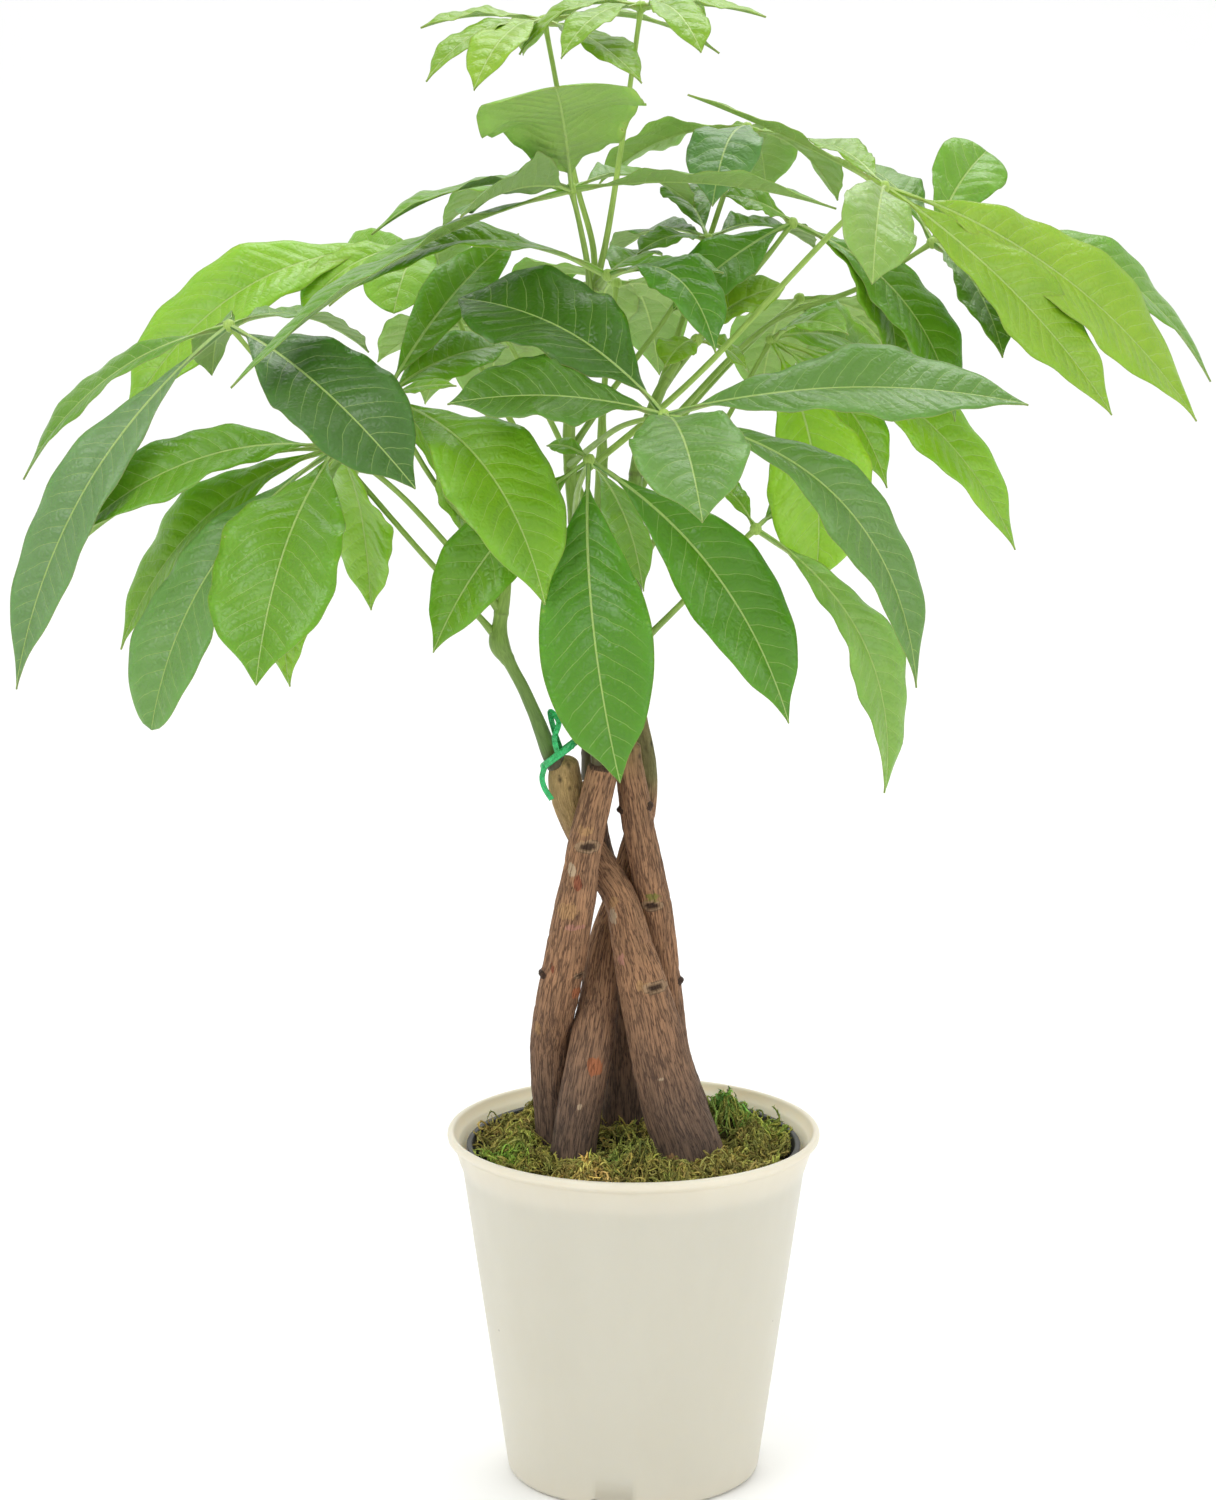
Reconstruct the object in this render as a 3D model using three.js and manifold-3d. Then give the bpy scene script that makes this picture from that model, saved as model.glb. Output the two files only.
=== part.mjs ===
// A braided money tree in a cream plastic pot. Millimetres, +Z up, the photo's side facing -Y.
// The origin is the centre of the circle that the pot stands on.
import * as THREE from 'three';
import { mergeVertices } from 'three/addons/utils/BufferGeometryUtils.js';
import Module from 'manifold-3d';

const wasm = await Module();
wasm.setup();

// ---- driving dimensions -------------------------------------------------------------------------

const GAP = 0.3; // between pieces that rest on or grow from each other

// outer pot
const POT_HEIGHT = 124;
const POT_TOP_RADIUS = 65;
const POT_BAND_RADIUS = 62.8; // under the lip
const POT_STEP_HEIGHT = 111; // lower edge of the plain band
const POT_STEP_RADIUS = 59.7;
const POT_STEP = 0.4; // how far the band stands out
const POT_FOOT_RADIUS = 44;
const POT_FOOT_ROUND = 3;
const POT_FOOT_CORNER = 0.9; // how far the corner under the rounding is cut back
const POT_WALL = 2;
const POT_FLOOR = 6; // top of the floor
const POT_RECESS = 3.5; // underside of the floor, above the foot ring
const FOOT_RING_WIDTH = 6;
const LIP_HEIGHT = 4;
// The lip's outline: [in from the top radius, up from under the lip].
const LIP_OUTLINE = [[0.5, 1], [0, 2], [0.3, 3.4], [1.2, 4], [2.2, 3.8]];
const POT_SEGMENTS = 36;
const NOTCH_WIDTH = 20;
const NOTCH_SLANT = 2;
const NOTCH_HEIGHT = 3.3;
const NOTCH_COUNT = 3;
const FIRST_NOTCH = -1.73; // radians from +X: the notch that faces the front

// grow pot and root ball
const GROW_TOP = 119;
const GROW_TOP_RADIUS = 57.5;
const GROW_FOOT_RADIUS = 40;
const GROW_WALL = 1.2;
const GROW_RIM = 0.8; // how far its rim stands out
const GROW_RIM_HEIGHT = 3;
const GROW_SEGMENTS = 24;
const SOIL_TOP = 111;
const DRAIN_RADIUS = 4;
const DRAIN_RING = 24;
const DRAIN_COUNT = 6;
const DRAIN_SIDES = 8;

// moss
const MOSS_REACH = 51;
const MOSS_EDGE = 4; // thickness at its outline
const MOSS_DEPTH = 5.5; // thickness between the clumps
const MOSS_RINGS = 6;
const MOSS_SECTORS = 26;

// foil tie
const BAND_WIDTH = 2.6;
const LOOSE_WIDTH = 1.9; // of the loop and the tail
const FOIL_THICKNESS = 0.7;

// stems
const TRUNK_SIDES = 9;
const TRUNK_STEPS = 12;
const SHOOT_SIDES = 6;
const SHOOT_STEPS = 10;
const PETIOLE_SIDES = 5;
const PETIOLE_STEPS = 4;
const PETIOLE_FOOT = 1.2;
const PETIOLE_TOP = 0.8;

// leaves
const BLADE = 0.8; // thickness of a leaflet
const FOLD = 0.16; // how far the edges stand over the midrib, for each mm of half width
const WAVE = 0.045; // height of the waves in the edge, for each mm of width
const WAVES = 2.5; // along a leaflet
const STALK_PART = 0.08; // share of a leaflet's length that is its own short stalk
const STALK_HALF = 0.8;
const TIP_HALF = 0.45;
// A leaflet's outline rises with one power of the way along it and falls with another: [sharp, blunt].
const BASE_POWERS = [1.35, 1.25];
const TIP_POWERS = [1.1, 0.5];
const HUB_RADIUS = 2.2;
const FEWEST_STEPS = 4; // along a leaflet
const MOST_STEPS = 6;
const STEP_LENGTH = 21; // a leaflet has as many steps of about this length as that allows

// Each trunk is a row of points [x, y, z, radius] from its foot in the soil to its top.
const TRUNKS = {
  trunk_front_left: [
    [-27, 0, 88, 6.2], [-28, 0, 123, 6.3], [-29, -3, 154, 6.8], [-26.5, -10, 173, 7.2], [-23, -14, 192, 7],
    [-20.5, -17, 206, 6.8], [-16.5, -18, 230, 5.9], [-9.9, -14.6, 257.5, 5.2],
  ],
  trunk_left: [
    [-23, -14, 88, 8.2], [-21, -14, 120, 7.8], [-15, -12, 155, 7.6], [-12, -4, 172, 6.8],
    [-10, 0.5, 188, 6.1], [-6, 6, 202, 5.4], [-1, 8.5, 218, 4.9], [3.5, 9, 236, 4.4],
    [4, 8.5, 252, 3.7], [1, 8, 272, 3.1],
  ],
  trunk_front: [
    [23, -18, 88, 12.4], [19, -18, 121, 11.6], [13, -18, 139, 10.7], [4.5, -15.5, 173, 9],
    [-0.5, -11.5, 192, 7.2], [-4.5, -8, 208, 5.9], [-14.5, -5.5, 224, 5.2], [-20.5, -6, 236, 5.3],
    [-23.5, -8, 248, 5.9], [-24, -9, 258.5, 4.6],
  ],
  trunk_right: [
    [25, 10, 88, 7.2], [21, 9, 122, 6.9], [12.5, 7, 153, 6.3], [11, 4, 169, 6.2], [9, 1.5, 188, 6.2],
    [7, 0, 204, 6.1], [3, -6, 225, 5.7], [0, -7.5, 243, 5.3], [-2, -8, 256, 4.7], [-2, -8, 264, 4.4],
  ],
  trunk_back: [
    [-4, 15, 88, 8.2], [-3, 15, 130, 7.8], [-4, 16, 166, 7.1], [-4.5, 18, 186, 6.6], [-5, 19, 201, 6],
    [-11, 15.5, 215, 5.3], [-14, 9, 230, 4.9], [-14, 7, 247, 4.5],
  ],
};

// Green shoots, which grow on from the tops of the trunks: points [x, y, z, radius].
const SHOOTS = {
  shoot_left: [
    [-26, -10, 255, 3.6], [-29, -11.2, 261, 3], [-33, -12.6, 272, 2.4], [-38, -15, 284, 2.1],
    [-42, -16.6, 292, 2.2], [-45.5, -18, 299, 3.5], [-45.3, -18, 306, 2.5], [-44, -18, 314, 2.3],
    [-42, -18, 325, 0.9],
  ],
  shoot_centre: [
    [-11, -17, 252, 3.2], [-13, -13, 275, 2.9], [-17, -9, 310, 2.7], [-20, -6, 340, 2.4],
    [-22, -5, 370, 2.1], [-18, -7, 398, 1.8], [-13.3, -9.7, 421, 1.5],
  ],
  shoot_right: [
    [1, 8, 271, 2.9], [2, 8, 294, 2.8], [-0.5, 6, 319, 2.8], [-0.5, 3, 340, 2.6],
    [2, 4, 362, 2.2], [9, 6, 382, 1.9], [15, 7, 392, 1.2],
  ],
  shoot_back: [
    [-15, 6, 246, 3.2], [-15, 10, 270, 2.9], [-14, 17, 300, 2.6], [-12, 25, 330, 2.4],
    [-11, 32, 355, 2], [-11, 36, 370, 1.2],
  ],
};

// The tie: a ring round the top of the front trunk in two halves, a loop over it and a loose tail.
const TIE_MIDDLE = [-25, -9.5, 259];
const TIE_FRONT = [
  [-29.8, -5.5, 255.2], [-31.6, -12, 255], [-26.6, -17, 259.8], [-20, -13.8, 264], [-18.6, -8, 264.6],
];
const TIE_REAR = [
  [-18.6, -10, 264.6], [-19.6, -4.6, 263], [-24.5, -3.4, 259], [-29.6, -5, 255.4], [-31.3, -9, 254.9],
];
const TIE_LOOP = [
  [-25.8, -16.6, 260.5], [-27, -16.4, 266], [-25.6, -15, 271.5], [-28.4, -12, 274.5], [-27.5, -8, 268],
  [-25, -3.6, 259.4],
];
const TIE_TAIL = [[-30.2, -14, 256.4], [-31.3, -14.8, 252], [-30.4, -15, 248.5], [-28, -14.6, 244.5]];

// The moss's clumps: [x, y, height, spread].
const CLUMPS = [
  [33, 16, 15, 8], [43, -6, 11, 7], [31, -32, 8, 8], [3, -37, 12, 7], [-16, -40, 8, 8], [-42, -6, 12, 8],
  [-37, -27, 9, 8], [-34, 22, 11, 9], [-10, 40, 10, 9], [18, 37, 11, 8], [-44, 10, 8, 6], [16, -42, 7, 6],
  [45, 12, 8, 6], [0, 0, 6, 12],
];

// The compound leaves. hub: where the leaflets meet. face: the way the fan of leaflets looks.
// stem: the petiole's points from the shoot up to the hub, which is added as its last point.
// leaflets: [tip x, y, z, width, arch as a share of the length, twist in degrees, bluntness 0 to 1,
// sideways bow, fold where it isn't the usual one].
const LEAVES = {
  leaf_top_broad: {
    hub: [-21, -15, 451], face: [0, -0.2, 1],
    stem: [[-15, -8, 410], [-15.5, -13, 424], [-18, -14.5, 438]],
    leaflets: [
      [-25, -104, 489, 54, 0.05, 9, 0.85, 0, -0.04], [-86, -38, 438, 20, 0.12, 14, 0],
      [-129, -80, 393, 24, 0.07, 21, 0], [-66, 34, 433, 24, 0.12, 0, 0],
      [-56, -66, 446, 32, 0.08, 38, 0], [65, -45, 447, 28, 0.06, -23, 0], [21, 36, 441, 24, 0.12, 0, 0],
    ],
  },
  leaf_top_young_right: {
    hub: [2, -5, 510], face: [0, -0.1, 1], stem: [[-13.5, -9.5, 417], [-10, -8, 431], [-5, -7, 461]],
    leaflets: [
      [43, -12, 507, 14, 0.06, 0, 0], [21, -46, 497, 17, 0.14, 0, 0.4], [-24, -44, 495, 15, 0.12, 0, 0],
      [-38, -17, 495, 13, 0.18, 0, 0], [-26, 26, 504, 13, 0.1, 0, 0], [24, 30, 503, 13, 0.1, 0, 0],
    ],
  },
  leaf_top_young_left: {
    hub: [-30, 5, 505], face: [0, -0.1, 1],
    stem: [[-16.5, -7.5, 403], [-13.5, -2.5, 427], [-20, 0, 454]],
    leaflets: [
      [-71, 0, 503, 16, 0.08, 0, 0], [-68, -31, 487, 15, 0.12, 0, 0], [-52, -46, 485, 18, 0.12, 0, 0.2],
      [2, -40, 487, 18, 0.06, 0, 0], [29, 38, 493, 13, 0.1, 0, 0], [-38, 48, 492, 15, 0.12, 0, 0],
    ],
  },
  leaf_right_bright: {
    hub: [83, -5, 451], face: [0.4, -0.7, 0.6], stem: [[-21, -5, 352], [18, -3, 385], [70, -5, 440]],
    leaflets: [
      [17, -35, 483, 18, 0.02, 50, 0], [61, 35, 464, 18, 0.06, 0, 0.6], [76, -60, 424, 28, 0.14, 0, 0.3],
      [196, 46, 366, 36, 0.08, 0, 0], [162, 8, 373, 32, 0.05, 0, 0],
    ],
  },
  leaf_right_behind: {
    hub: [103, 45, 428], face: [0.4, -0.4, 0.8],
    stem: [[2, 4, 358], [18, 14, 376], [49, 38, 402], [78, 41, 413]],
    leaflets: [
      [205, 78, 376, 30, 0.16, 0, 0], [188, 52, 384, 28, 0.1, 0, 0], [124, 78, 457, 26, 0.08, 0, 1],
      [77, 92, 452, 24, 0.1, 0, 0.2], [125, 12, 392, 24, 0.12, 0, 0], [143, 30, 389, 28, 0.1, 0, 0],
    ],
  },
  leaf_front_right: {
    hub: [9, -70, 383], face: [0, -0.5, 0.85], stem: [[-21.5, -6, 358], [-13, -28, 368], [-4, -50, 377]],
    leaflets: [
      [127, -60, 385, 36, 0.06, 0, 0], [91, -76, 295, 28, 0.19, 0, 0], [20, -140, 359, 38, 0.12, 0, 0.2],
      [-60, -82, 388, 34, 0.06, 0, 0], [-58, -28, 416, 44, 0.1, 0, 0.5],
    ],
  },
  leaf_front_centre: {
    hub: [-15, -52, 366], face: [0, -0.8, 0.6], stem: [[-20, -6, 338], [-19, -28, 352]],
    leaflets: [
      [-5, -92, 267, 37, 0.12, 0, 0.2, 7], [50, -70, 282, 31, 0.1, 0, 0], [-66, -62, 304, 26, 0.08, 0, 0],
      [-29, -40, 369, 7, 0.1, 0, 0], [3, -25, 318, 16, 0.1, 60, 0],
    ],
  },
  leaf_low_right: {
    hub: [41, -8, 336.5], face: [0.4, -0.5, 0.75], stem: [[2, 8, 294], [17, 3, 310], [33, -5, 328.5]],
    leaflets: [[85, -16, 247, 28, 0.16, 0, 0], [23, 15, 353, 12, 0.08, 0, 0], [70, 40, 320, 22, 0.2, 0, 0]],
  },
  leaf_far_left: {
    hub: [-133, -35, 408], face: [-0.25, -0.4, 0.88],
    stem: [[-46, -18, 301], [-57, -20, 314], [-74, -23, 334], [-100, -28, 366]],
    leaflets: [
      [-203, -58, 291, 26, 0.1, -15, 0], [-204, -20, 355, 19, 0.11, 0, 0],
      [-70, -90, 362, 38, 0.12, 0, 0.2, 6], [-90, 12, 394, 22, 0.12, 0, 0], [-142, -4, 388, 18, 0.2, 0, 0.4],
    ],
  },
  leaf_back_left: {
    hub: [-72, 45, 426], face: [-0.2, -0.6, 0.77],
    stem: [[-14, 18, 304], [-30, 28, 345], [-55, 38, 390], [-66, 43, 414]],
    leaflets: [
      [-173, 10, 370, 36, 0.16, 0, 0.2], [-114, 16, 404, 20, 0.14, 0, 0], [-81, 4, 408, 26, 0.12, 0, 0.8],
      [-118, 92, 398, 26, 0.12, 0, 0], [-68, 106, 402, 26, 0.14, 0, 0],
    ],
  },
  leaf_low_left: {
    hub: [-97, -42, 369], face: [-0.25, -0.6, 0.75],
    stem: [[-45, -18, 310], [-55, -22, 324], [-78, -32, 352]],
    leaflets: [
      [-121, -98, 300, 46, 0.12, 0, 0.2], [-183, -52, 341, 27, 0.12, 0, 0], [-194, -20, 326, 24, 0.1, 35, 0],
      [-173, -18, 297, 28, 0.12, 0, 0], [-158, -66, 279, 31, 0.12, 0, 0.9], [-114, -48, 290, 28, 0.1, 0, 0],
      [-89, -10, 309, 29, 0.12, 0, 0],
    ],
  },
  leaf_mid_left: {
    hub: [-82, -42, 385], face: [0.1, -0.6, 0.8],
    stem: [[-16, -10, 300], [-38, -12, 323], [-63, -26, 350]],
    leaflets: [
      [-39, 12, 434, 20, 0.06, 0, 0], [-29, -92, 325, 38, 0.16, 0, 0.1], [-42, -8, 398, 20, 0.08, 0, 0],
      [-101, 8, 331, 27, 0.14, 0, 0], [-55, -12, 327, 26, 0.12, 0, 0], [-58, -58, 391, 7, 0.05, 0, 0],
    ],
  },
  leaf_mid_back: {
    hub: [25, 25, 431], face: [0, -0.2, 1], stem: [[-22, -4.5, 362], [-9, 3, 380], [14, 18, 410]],
    leaflets: [
      [1, 2, 428, 16, 0.1, 0, 0], [12, 64, 446, 16, 0.1, 0, 0], [64, 66, 424, 24, 0.12, 0, 0],
      [-8, 70, 420, 22, 0.12, 0, 0],
    ],
  },
  leaf_back_right: {
    hub: [47, 30, 396], face: [0.2, -0.6, 0.77], stem: [[0, 6, 316], [6, 9, 328], [26, 20, 360]],
    leaflets: [
      [62, 6, 318, 39, 0.14, 0, 0.7], [133, 38, 322, 30, 0.12, 0, 0], [87, 22, 346, 20, 0.1, 0, 0],
      [72, 2, 401, 17, 0.14, 0, 0], [92, 66, 377, 34, 0.14, 0, 0.3],
    ],
  },
  leaf_high_back: {
    hub: [39, 50, 467], face: [0, -0.2, 1], stem: [[3, 4.5, 366], [16, 24, 402], [30, 42, 442]],
    leaflets: [
      [26, 2, 444, 26, 0.16, 0, 0.2], [-12, 62, 447, 26, 0.12, 30, 0], [72, 78, 440, 28, 0.12, 0, 0],
      [48, 104, 440, 26, 0.14, 0, 0],
    ],
  },
  leaf_mid_crown: {
    hub: [-9, -19, 423], face: [0, -0.25, 1], stem: [[-11.6, -12, 419]],
    leaflets: [
      [-100, -40, 415, 24, 0.17, 0, 0], [26, -52, 401, 26, 0.26, 0, 0], [29, -32, 425, 18, 0.06, 0, 0],
      [6, 22, 427, 18, 0.04, 0, 0],
    ],
  },
  leaf_high_right: {
    hub: [54, 30, 436], face: [0.2, -0.5, 0.85], stem: [[9, 6, 382], [28, 16, 405], [46, 26, 426]],
    leaflets: [
      [30, 22, 446, 16, 0.08, 0, 0], [89, 27, 380, 26, 0.2, 0, 0.1], [110, 22, 369, 30, 0.14, 0, 0],
      [13, 2, 409, 23, 0.05, 0, 0.3],
    ],
  },
  leaf_young_inner: {
    hub: [21, 4, 399], face: [0, -0.5, 0.85], stem: [[15.5, 6.6, 393]],
    leaflets: [
      [51, 14, 416, 20, 0.1, 0, 0.5], [39, 14, 387, 14, 0.1, 0, 0.2],
      [10, -14, 392, 14, 0.1, 0, 0],
    ],
  },
  leaf_rear_left: {
    hub: [-47, 76, 395], face: [-0.1, 0.4, 0.9], stem: [[-12, 24, 326], [-24, 44, 356], [-40, 66, 384]],
    leaflets: [
      [-76, 126, 362, 30, 0.14, 0, 0], [-52, 137, 353, 31, 0.16, 0, 0.2], [-27, 128, 368, 27, 0.14, 0, 0],
      [-92, 104, 380, 27, 0.12, 0, 0],
    ],
  },
  leaf_rear_right: {
    hub: [59, 82, 405], face: [0.1, 0.4, 0.9], stem: [[0.5, 3.2, 345], [14, 28, 366], [44, 66, 394]],
    leaflets: [
      [47, 134, 360, 29, 0.15, 0, 0], [74, 138, 358, 31, 0.16, 0, 0.2], [101, 122, 366, 29, 0.14, 0, 0],
      [100, 92, 386, 26, 0.12, 0, 0],
    ],
  },
  leaf_rear_centre: {
    hub: [-6, 66, 412], face: [0, 0.35, 0.9], stem: [[-11, 33, 360], [-10, 46, 380], [-7, 60, 400]],
    leaflets: [
      [-14, 124, 378, 28, 0.15, 0, 0], [10, 132, 372, 30, 0.16, 0, 0.2], [24, 104, 392, 25, 0.12, 0, 0],
      [-44, 100, 404, 26, 0.12, 0, 0],
    ],
  },
};

// ---- colours ------------------------------------------------------------------------------------

const CREAM = '#e4dcc6';
const DARK_PLASTIC = '#3a3b3c';
const EARTH = '#33271d';
const MOSS_GREEN = '#7c8140';
const BARK = '#7d6450';
const SHOOT_GREEN = '#6f9a3a';
const FOIL_GREEN = '#2fae62';
const LEAF_DARK = '#3f7a2c';
const LEAF_MID = '#5f9a35';
const LEAF_YOUNG = '#9cc24c';
const YOUNG_LEAVES = [
  'leaf_top_young_right', 'leaf_top_young_left', 'leaf_right_bright', 'leaf_young_inner',
];
const DARK_LEAVES = [
  'leaf_front_right', 'leaf_far_left', 'leaf_right_behind', 'leaf_high_back', 'leaf_mid_back',
];

// ---- solids -------------------------------------------------------------------------------------

const vector = (point) => new THREE.Vector3(point[0], point[1], point[2]);

/** A closed mesh as a solid that can be joined and cut. */
function solidOf(geometry) {
  const bare = geometry.clone();
  bare.deleteAttribute('normal');
  bare.deleteAttribute('uv');
  const merged = mergeVertices(bare, 1e-4);
  const index = merged.index.array;
  const faces = [];
  for (let i = 0; i < index.length; i += 3) {
    const [a, b, c] = [index[i], index[i + 1], index[i + 2]];
    if (a !== b && b !== c && c !== a) faces.push(a, b, c);
  }
  const vertProperties = new Float32Array(merged.attributes.position.array);
  return new wasm.Manifold(new wasm.Mesh({ numProp: 3, vertProperties, triVerts: new Uint32Array(faces) }));
}

/** A solid as a mesh geometry. */
function geometryOf(solid) {
  const mesh = solid.getMesh();
  const geometry = new THREE.BufferGeometry();
  geometry.setAttribute('position', new THREE.BufferAttribute(new Float32Array(mesh.vertProperties), 3));
  geometry.setIndex(new THREE.BufferAttribute(new Uint32Array(mesh.triVerts), 1));
  geometry.computeVertexNormals();
  return geometry;
}

/** The largest body of a solid: a scrap that a cut leaves loose is dropped. */
function largestBody(solid) {
  return solid.decompose().reduce((large, body) => (body.volume() > large.volume() ? body : large));
}

const joined = (solids) => solids.reduce((sum, solid) => sum.add(solid));
const cutBy = (solid, tools) => tools.reduce((rest, tool) => rest.subtract(tool), solid);

/** A closed solid through rings of points, each ring with the same number of points. */
function loft(rings) {
  const sides = rings[0].length;
  const last = (rings.length - 1) * sides;
  const index = [];
  for (let i = 0; i < rings.length - 1; i += 1) {
    for (let k = 0; k < sides; k += 1) {
      const a = i * sides + k;
      const b = i * sides + ((k + 1) % sides);
      index.push(a, b, b + sides, a, b + sides, a + sides);
    }
  }
  for (let k = 1; k < sides - 1; k += 1) {
    index.push(0, k + 1, k);
    index.push(last, last + k, last + k + 1);
  }
  const geometry = new THREE.BufferGeometry().setFromPoints(rings.flat());
  geometry.setIndex(index);
  return solidOf(geometry);
}

/** A round stem through points [x, y, z, radius], made larger all round by spare. */
function stem(points, sides, steps, spare = 0) {
  const curve = new THREE.CatmullRomCurve3(points.map(vector), false, 'centripetal');
  const side = new THREE.Vector3(1, 0, 0);
  const rings = [];
  for (let i = 0; i <= steps; i += 1) {
    const share = i / steps;
    const place = share * (points.length - 1);
    const low = Math.min(Math.floor(place), points.length - 2);
    const radius = THREE.MathUtils.lerp(points[low][3], points[low + 1][3], place - low) + spare;
    const along = curve.getTangent(share);
    side.addScaledVector(along, -side.dot(along)).normalize();
    const other = new THREE.Vector3().crossVectors(along, side);
    const ends = { 0: -spare, [steps]: spare };
    const centre = curve.getPoint(share).addScaledVector(along, ends[i] ?? 0);
    const ring = [];
    for (let k = 0; k < sides; k += 1) {
      const angle = (2 * Math.PI * k) / sides;
      const spoke = side.clone().multiplyScalar(Math.cos(angle)).addScaledVector(other, Math.sin(angle));
      ring.push(centre.clone().addScaledVector(spoke, radius));
    }
    rings.push(ring);
  }
  return loft(rings);
}

// ---- pot, grow pot, soil and moss ---------------------------------------------------------------

/** A solid turned about the Z axis from a profile of [radius, height], which starts and ends on it. */
function turned(profile, segments) {
  const points = profile.map(([radius, height]) => new THREE.Vector2(radius, height));
  const geometry = new THREE.LatheGeometry(points, segments);
  geometry.rotateX(Math.PI / 2);
  return solidOf(geometry);
}

/** Radius of the outer pot's outside at a height under its lip. */
function potRadius(z) {
  if (z < POT_STEP_HEIGHT) {
    return THREE.MathUtils.mapLinear(z, 0, POT_STEP_HEIGHT, POT_FOOT_RADIUS, POT_STEP_RADIUS);
  }
  const [underLip, bandFoot] = [POT_HEIGHT - LIP_HEIGHT, POT_STEP_RADIUS + POT_STEP];
  return THREE.MathUtils.mapLinear(z, POT_STEP_HEIGHT, underLip, bandFoot, POT_BAND_RADIUS);
}

/** Radius of the grow pot's outside at a height. */
function growRadius(z) {
  return THREE.MathUtils.mapLinear(z, POT_FLOOR, GROW_TOP, GROW_FOOT_RADIUS, GROW_TOP_RADIUS);
}

function outerPot() {
  const ringInside = POT_FOOT_RADIUS - FOOT_RING_WIDTH;
  const underLip = POT_HEIGHT - LIP_HEIGHT;
  const inside = (z) => [potRadius(z) - POT_WALL, z];
  const profile = [
    [0, POT_RECESS], [ringInside - 1, POT_RECESS], [ringInside, POT_RECESS - 1], [ringInside, 0],
    [POT_FOOT_RADIUS - POT_FOOT_ROUND, 0], [POT_FOOT_RADIUS - POT_FOOT_CORNER, POT_FOOT_CORNER],
    [potRadius(POT_FOOT_ROUND), POT_FOOT_ROUND],
    [POT_STEP_RADIUS, POT_STEP_HEIGHT - POT_STEP], [POT_STEP_RADIUS + POT_STEP, POT_STEP_HEIGHT],
    [POT_BAND_RADIUS, underLip],
    ...LIP_OUTLINE.map(([inward, up]) => [POT_TOP_RADIUS - inward, underLip + up]),
    inside(underLip), inside(POT_STEP_HEIGHT),
    inside(POT_FLOOR + 2), [potRadius(POT_FLOOR) - POT_WALL - 2, POT_FLOOR], [0, POT_FLOOR],
  ];
  const notch = new THREE.Shape([
    new THREE.Vector2(-NOTCH_WIDTH / 2, -1), new THREE.Vector2(NOTCH_WIDTH / 2, -1),
    new THREE.Vector2(NOTCH_WIDTH / 2 - NOTCH_SLANT, NOTCH_HEIGHT),
    new THREE.Vector2(NOTCH_SLANT - NOTCH_WIDTH / 2, NOTCH_HEIGHT),
  ]);
  const notches = Array.from({ length: NOTCH_COUNT }, (_, i) => {
    const cutter = new THREE.ExtrudeGeometry(notch, { depth: 2 * FOOT_RING_WIDTH, bevelEnabled: false });
    cutter.rotateX(Math.PI / 2);
    cutter.rotateZ(Math.PI / 2);
    cutter.translate(POT_FOOT_RADIUS - 1.5 * FOOT_RING_WIDTH, 0, 0);
    cutter.rotateZ(FIRST_NOTCH + (2 * Math.PI * i) / NOTCH_COUNT);
    return solidOf(cutter);
  });
  return cutBy(turned(profile, POT_SEGMENTS), notches);
}

function growPot() {
  const foot = POT_FLOOR + GAP;
  const rimFoot = GROW_TOP - GROW_RIM_HEIGHT;
  const profile = [
    [0, foot], [growRadius(foot), foot], [growRadius(rimFoot), rimFoot],
    [growRadius(rimFoot) + GROW_RIM, rimFoot], [GROW_TOP_RADIUS + GROW_RIM, GROW_TOP],
    [GROW_TOP_RADIUS - GROW_WALL, GROW_TOP], [growRadius(foot) - GROW_WALL, foot + GROW_WALL],
    [0, foot + GROW_WALL],
  ];
  const drains = Array.from({ length: DRAIN_COUNT }, (_, i) => {
    const drain = new THREE.CylinderGeometry(DRAIN_RADIUS, DRAIN_RADIUS, 4 * GROW_WALL, DRAIN_SIDES);
    drain.rotateX(Math.PI / 2);
    drain.translate(DRAIN_RING, 0, foot);
    drain.rotateZ((2 * Math.PI * i) / DRAIN_COUNT);
    return solidOf(drain);
  });
  return cutBy(turned(profile, GROW_SEGMENTS), drains);
}

function rootBall(stems) {
  const foot = POT_FLOOR + GROW_WALL + 2 * GAP;
  const inside = GROW_WALL + GAP;
  const profile = [
    [0, foot], [growRadius(foot) - inside - 0.4, foot], [growRadius(SOIL_TOP) - inside, SOIL_TOP],
    [0, SOIL_TOP],
  ];
  return largestBody(cutBy(turned(profile, GROW_SEGMENTS), stems));
}

/** Height of the moss over the soil at a place and a share of the way from its middle to its outline. */
function mossHeight(x, y, share) {
  const heap = CLUMPS.reduce((sum, [cx, cy, height, spread]) => {
    const distance = Math.hypot(x - cx, y - cy) / spread;
    return sum + height * Math.exp(-distance * distance);
  }, 0);
  const tufts = Math.sin(0.55 * x + 1.3) * Math.sin(0.6 * y + 0.4);
  const full = MOSS_DEPTH + heap + tufts;
  return THREE.MathUtils.lerp(full, MOSS_EDGE, share ** 6);
}

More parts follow.
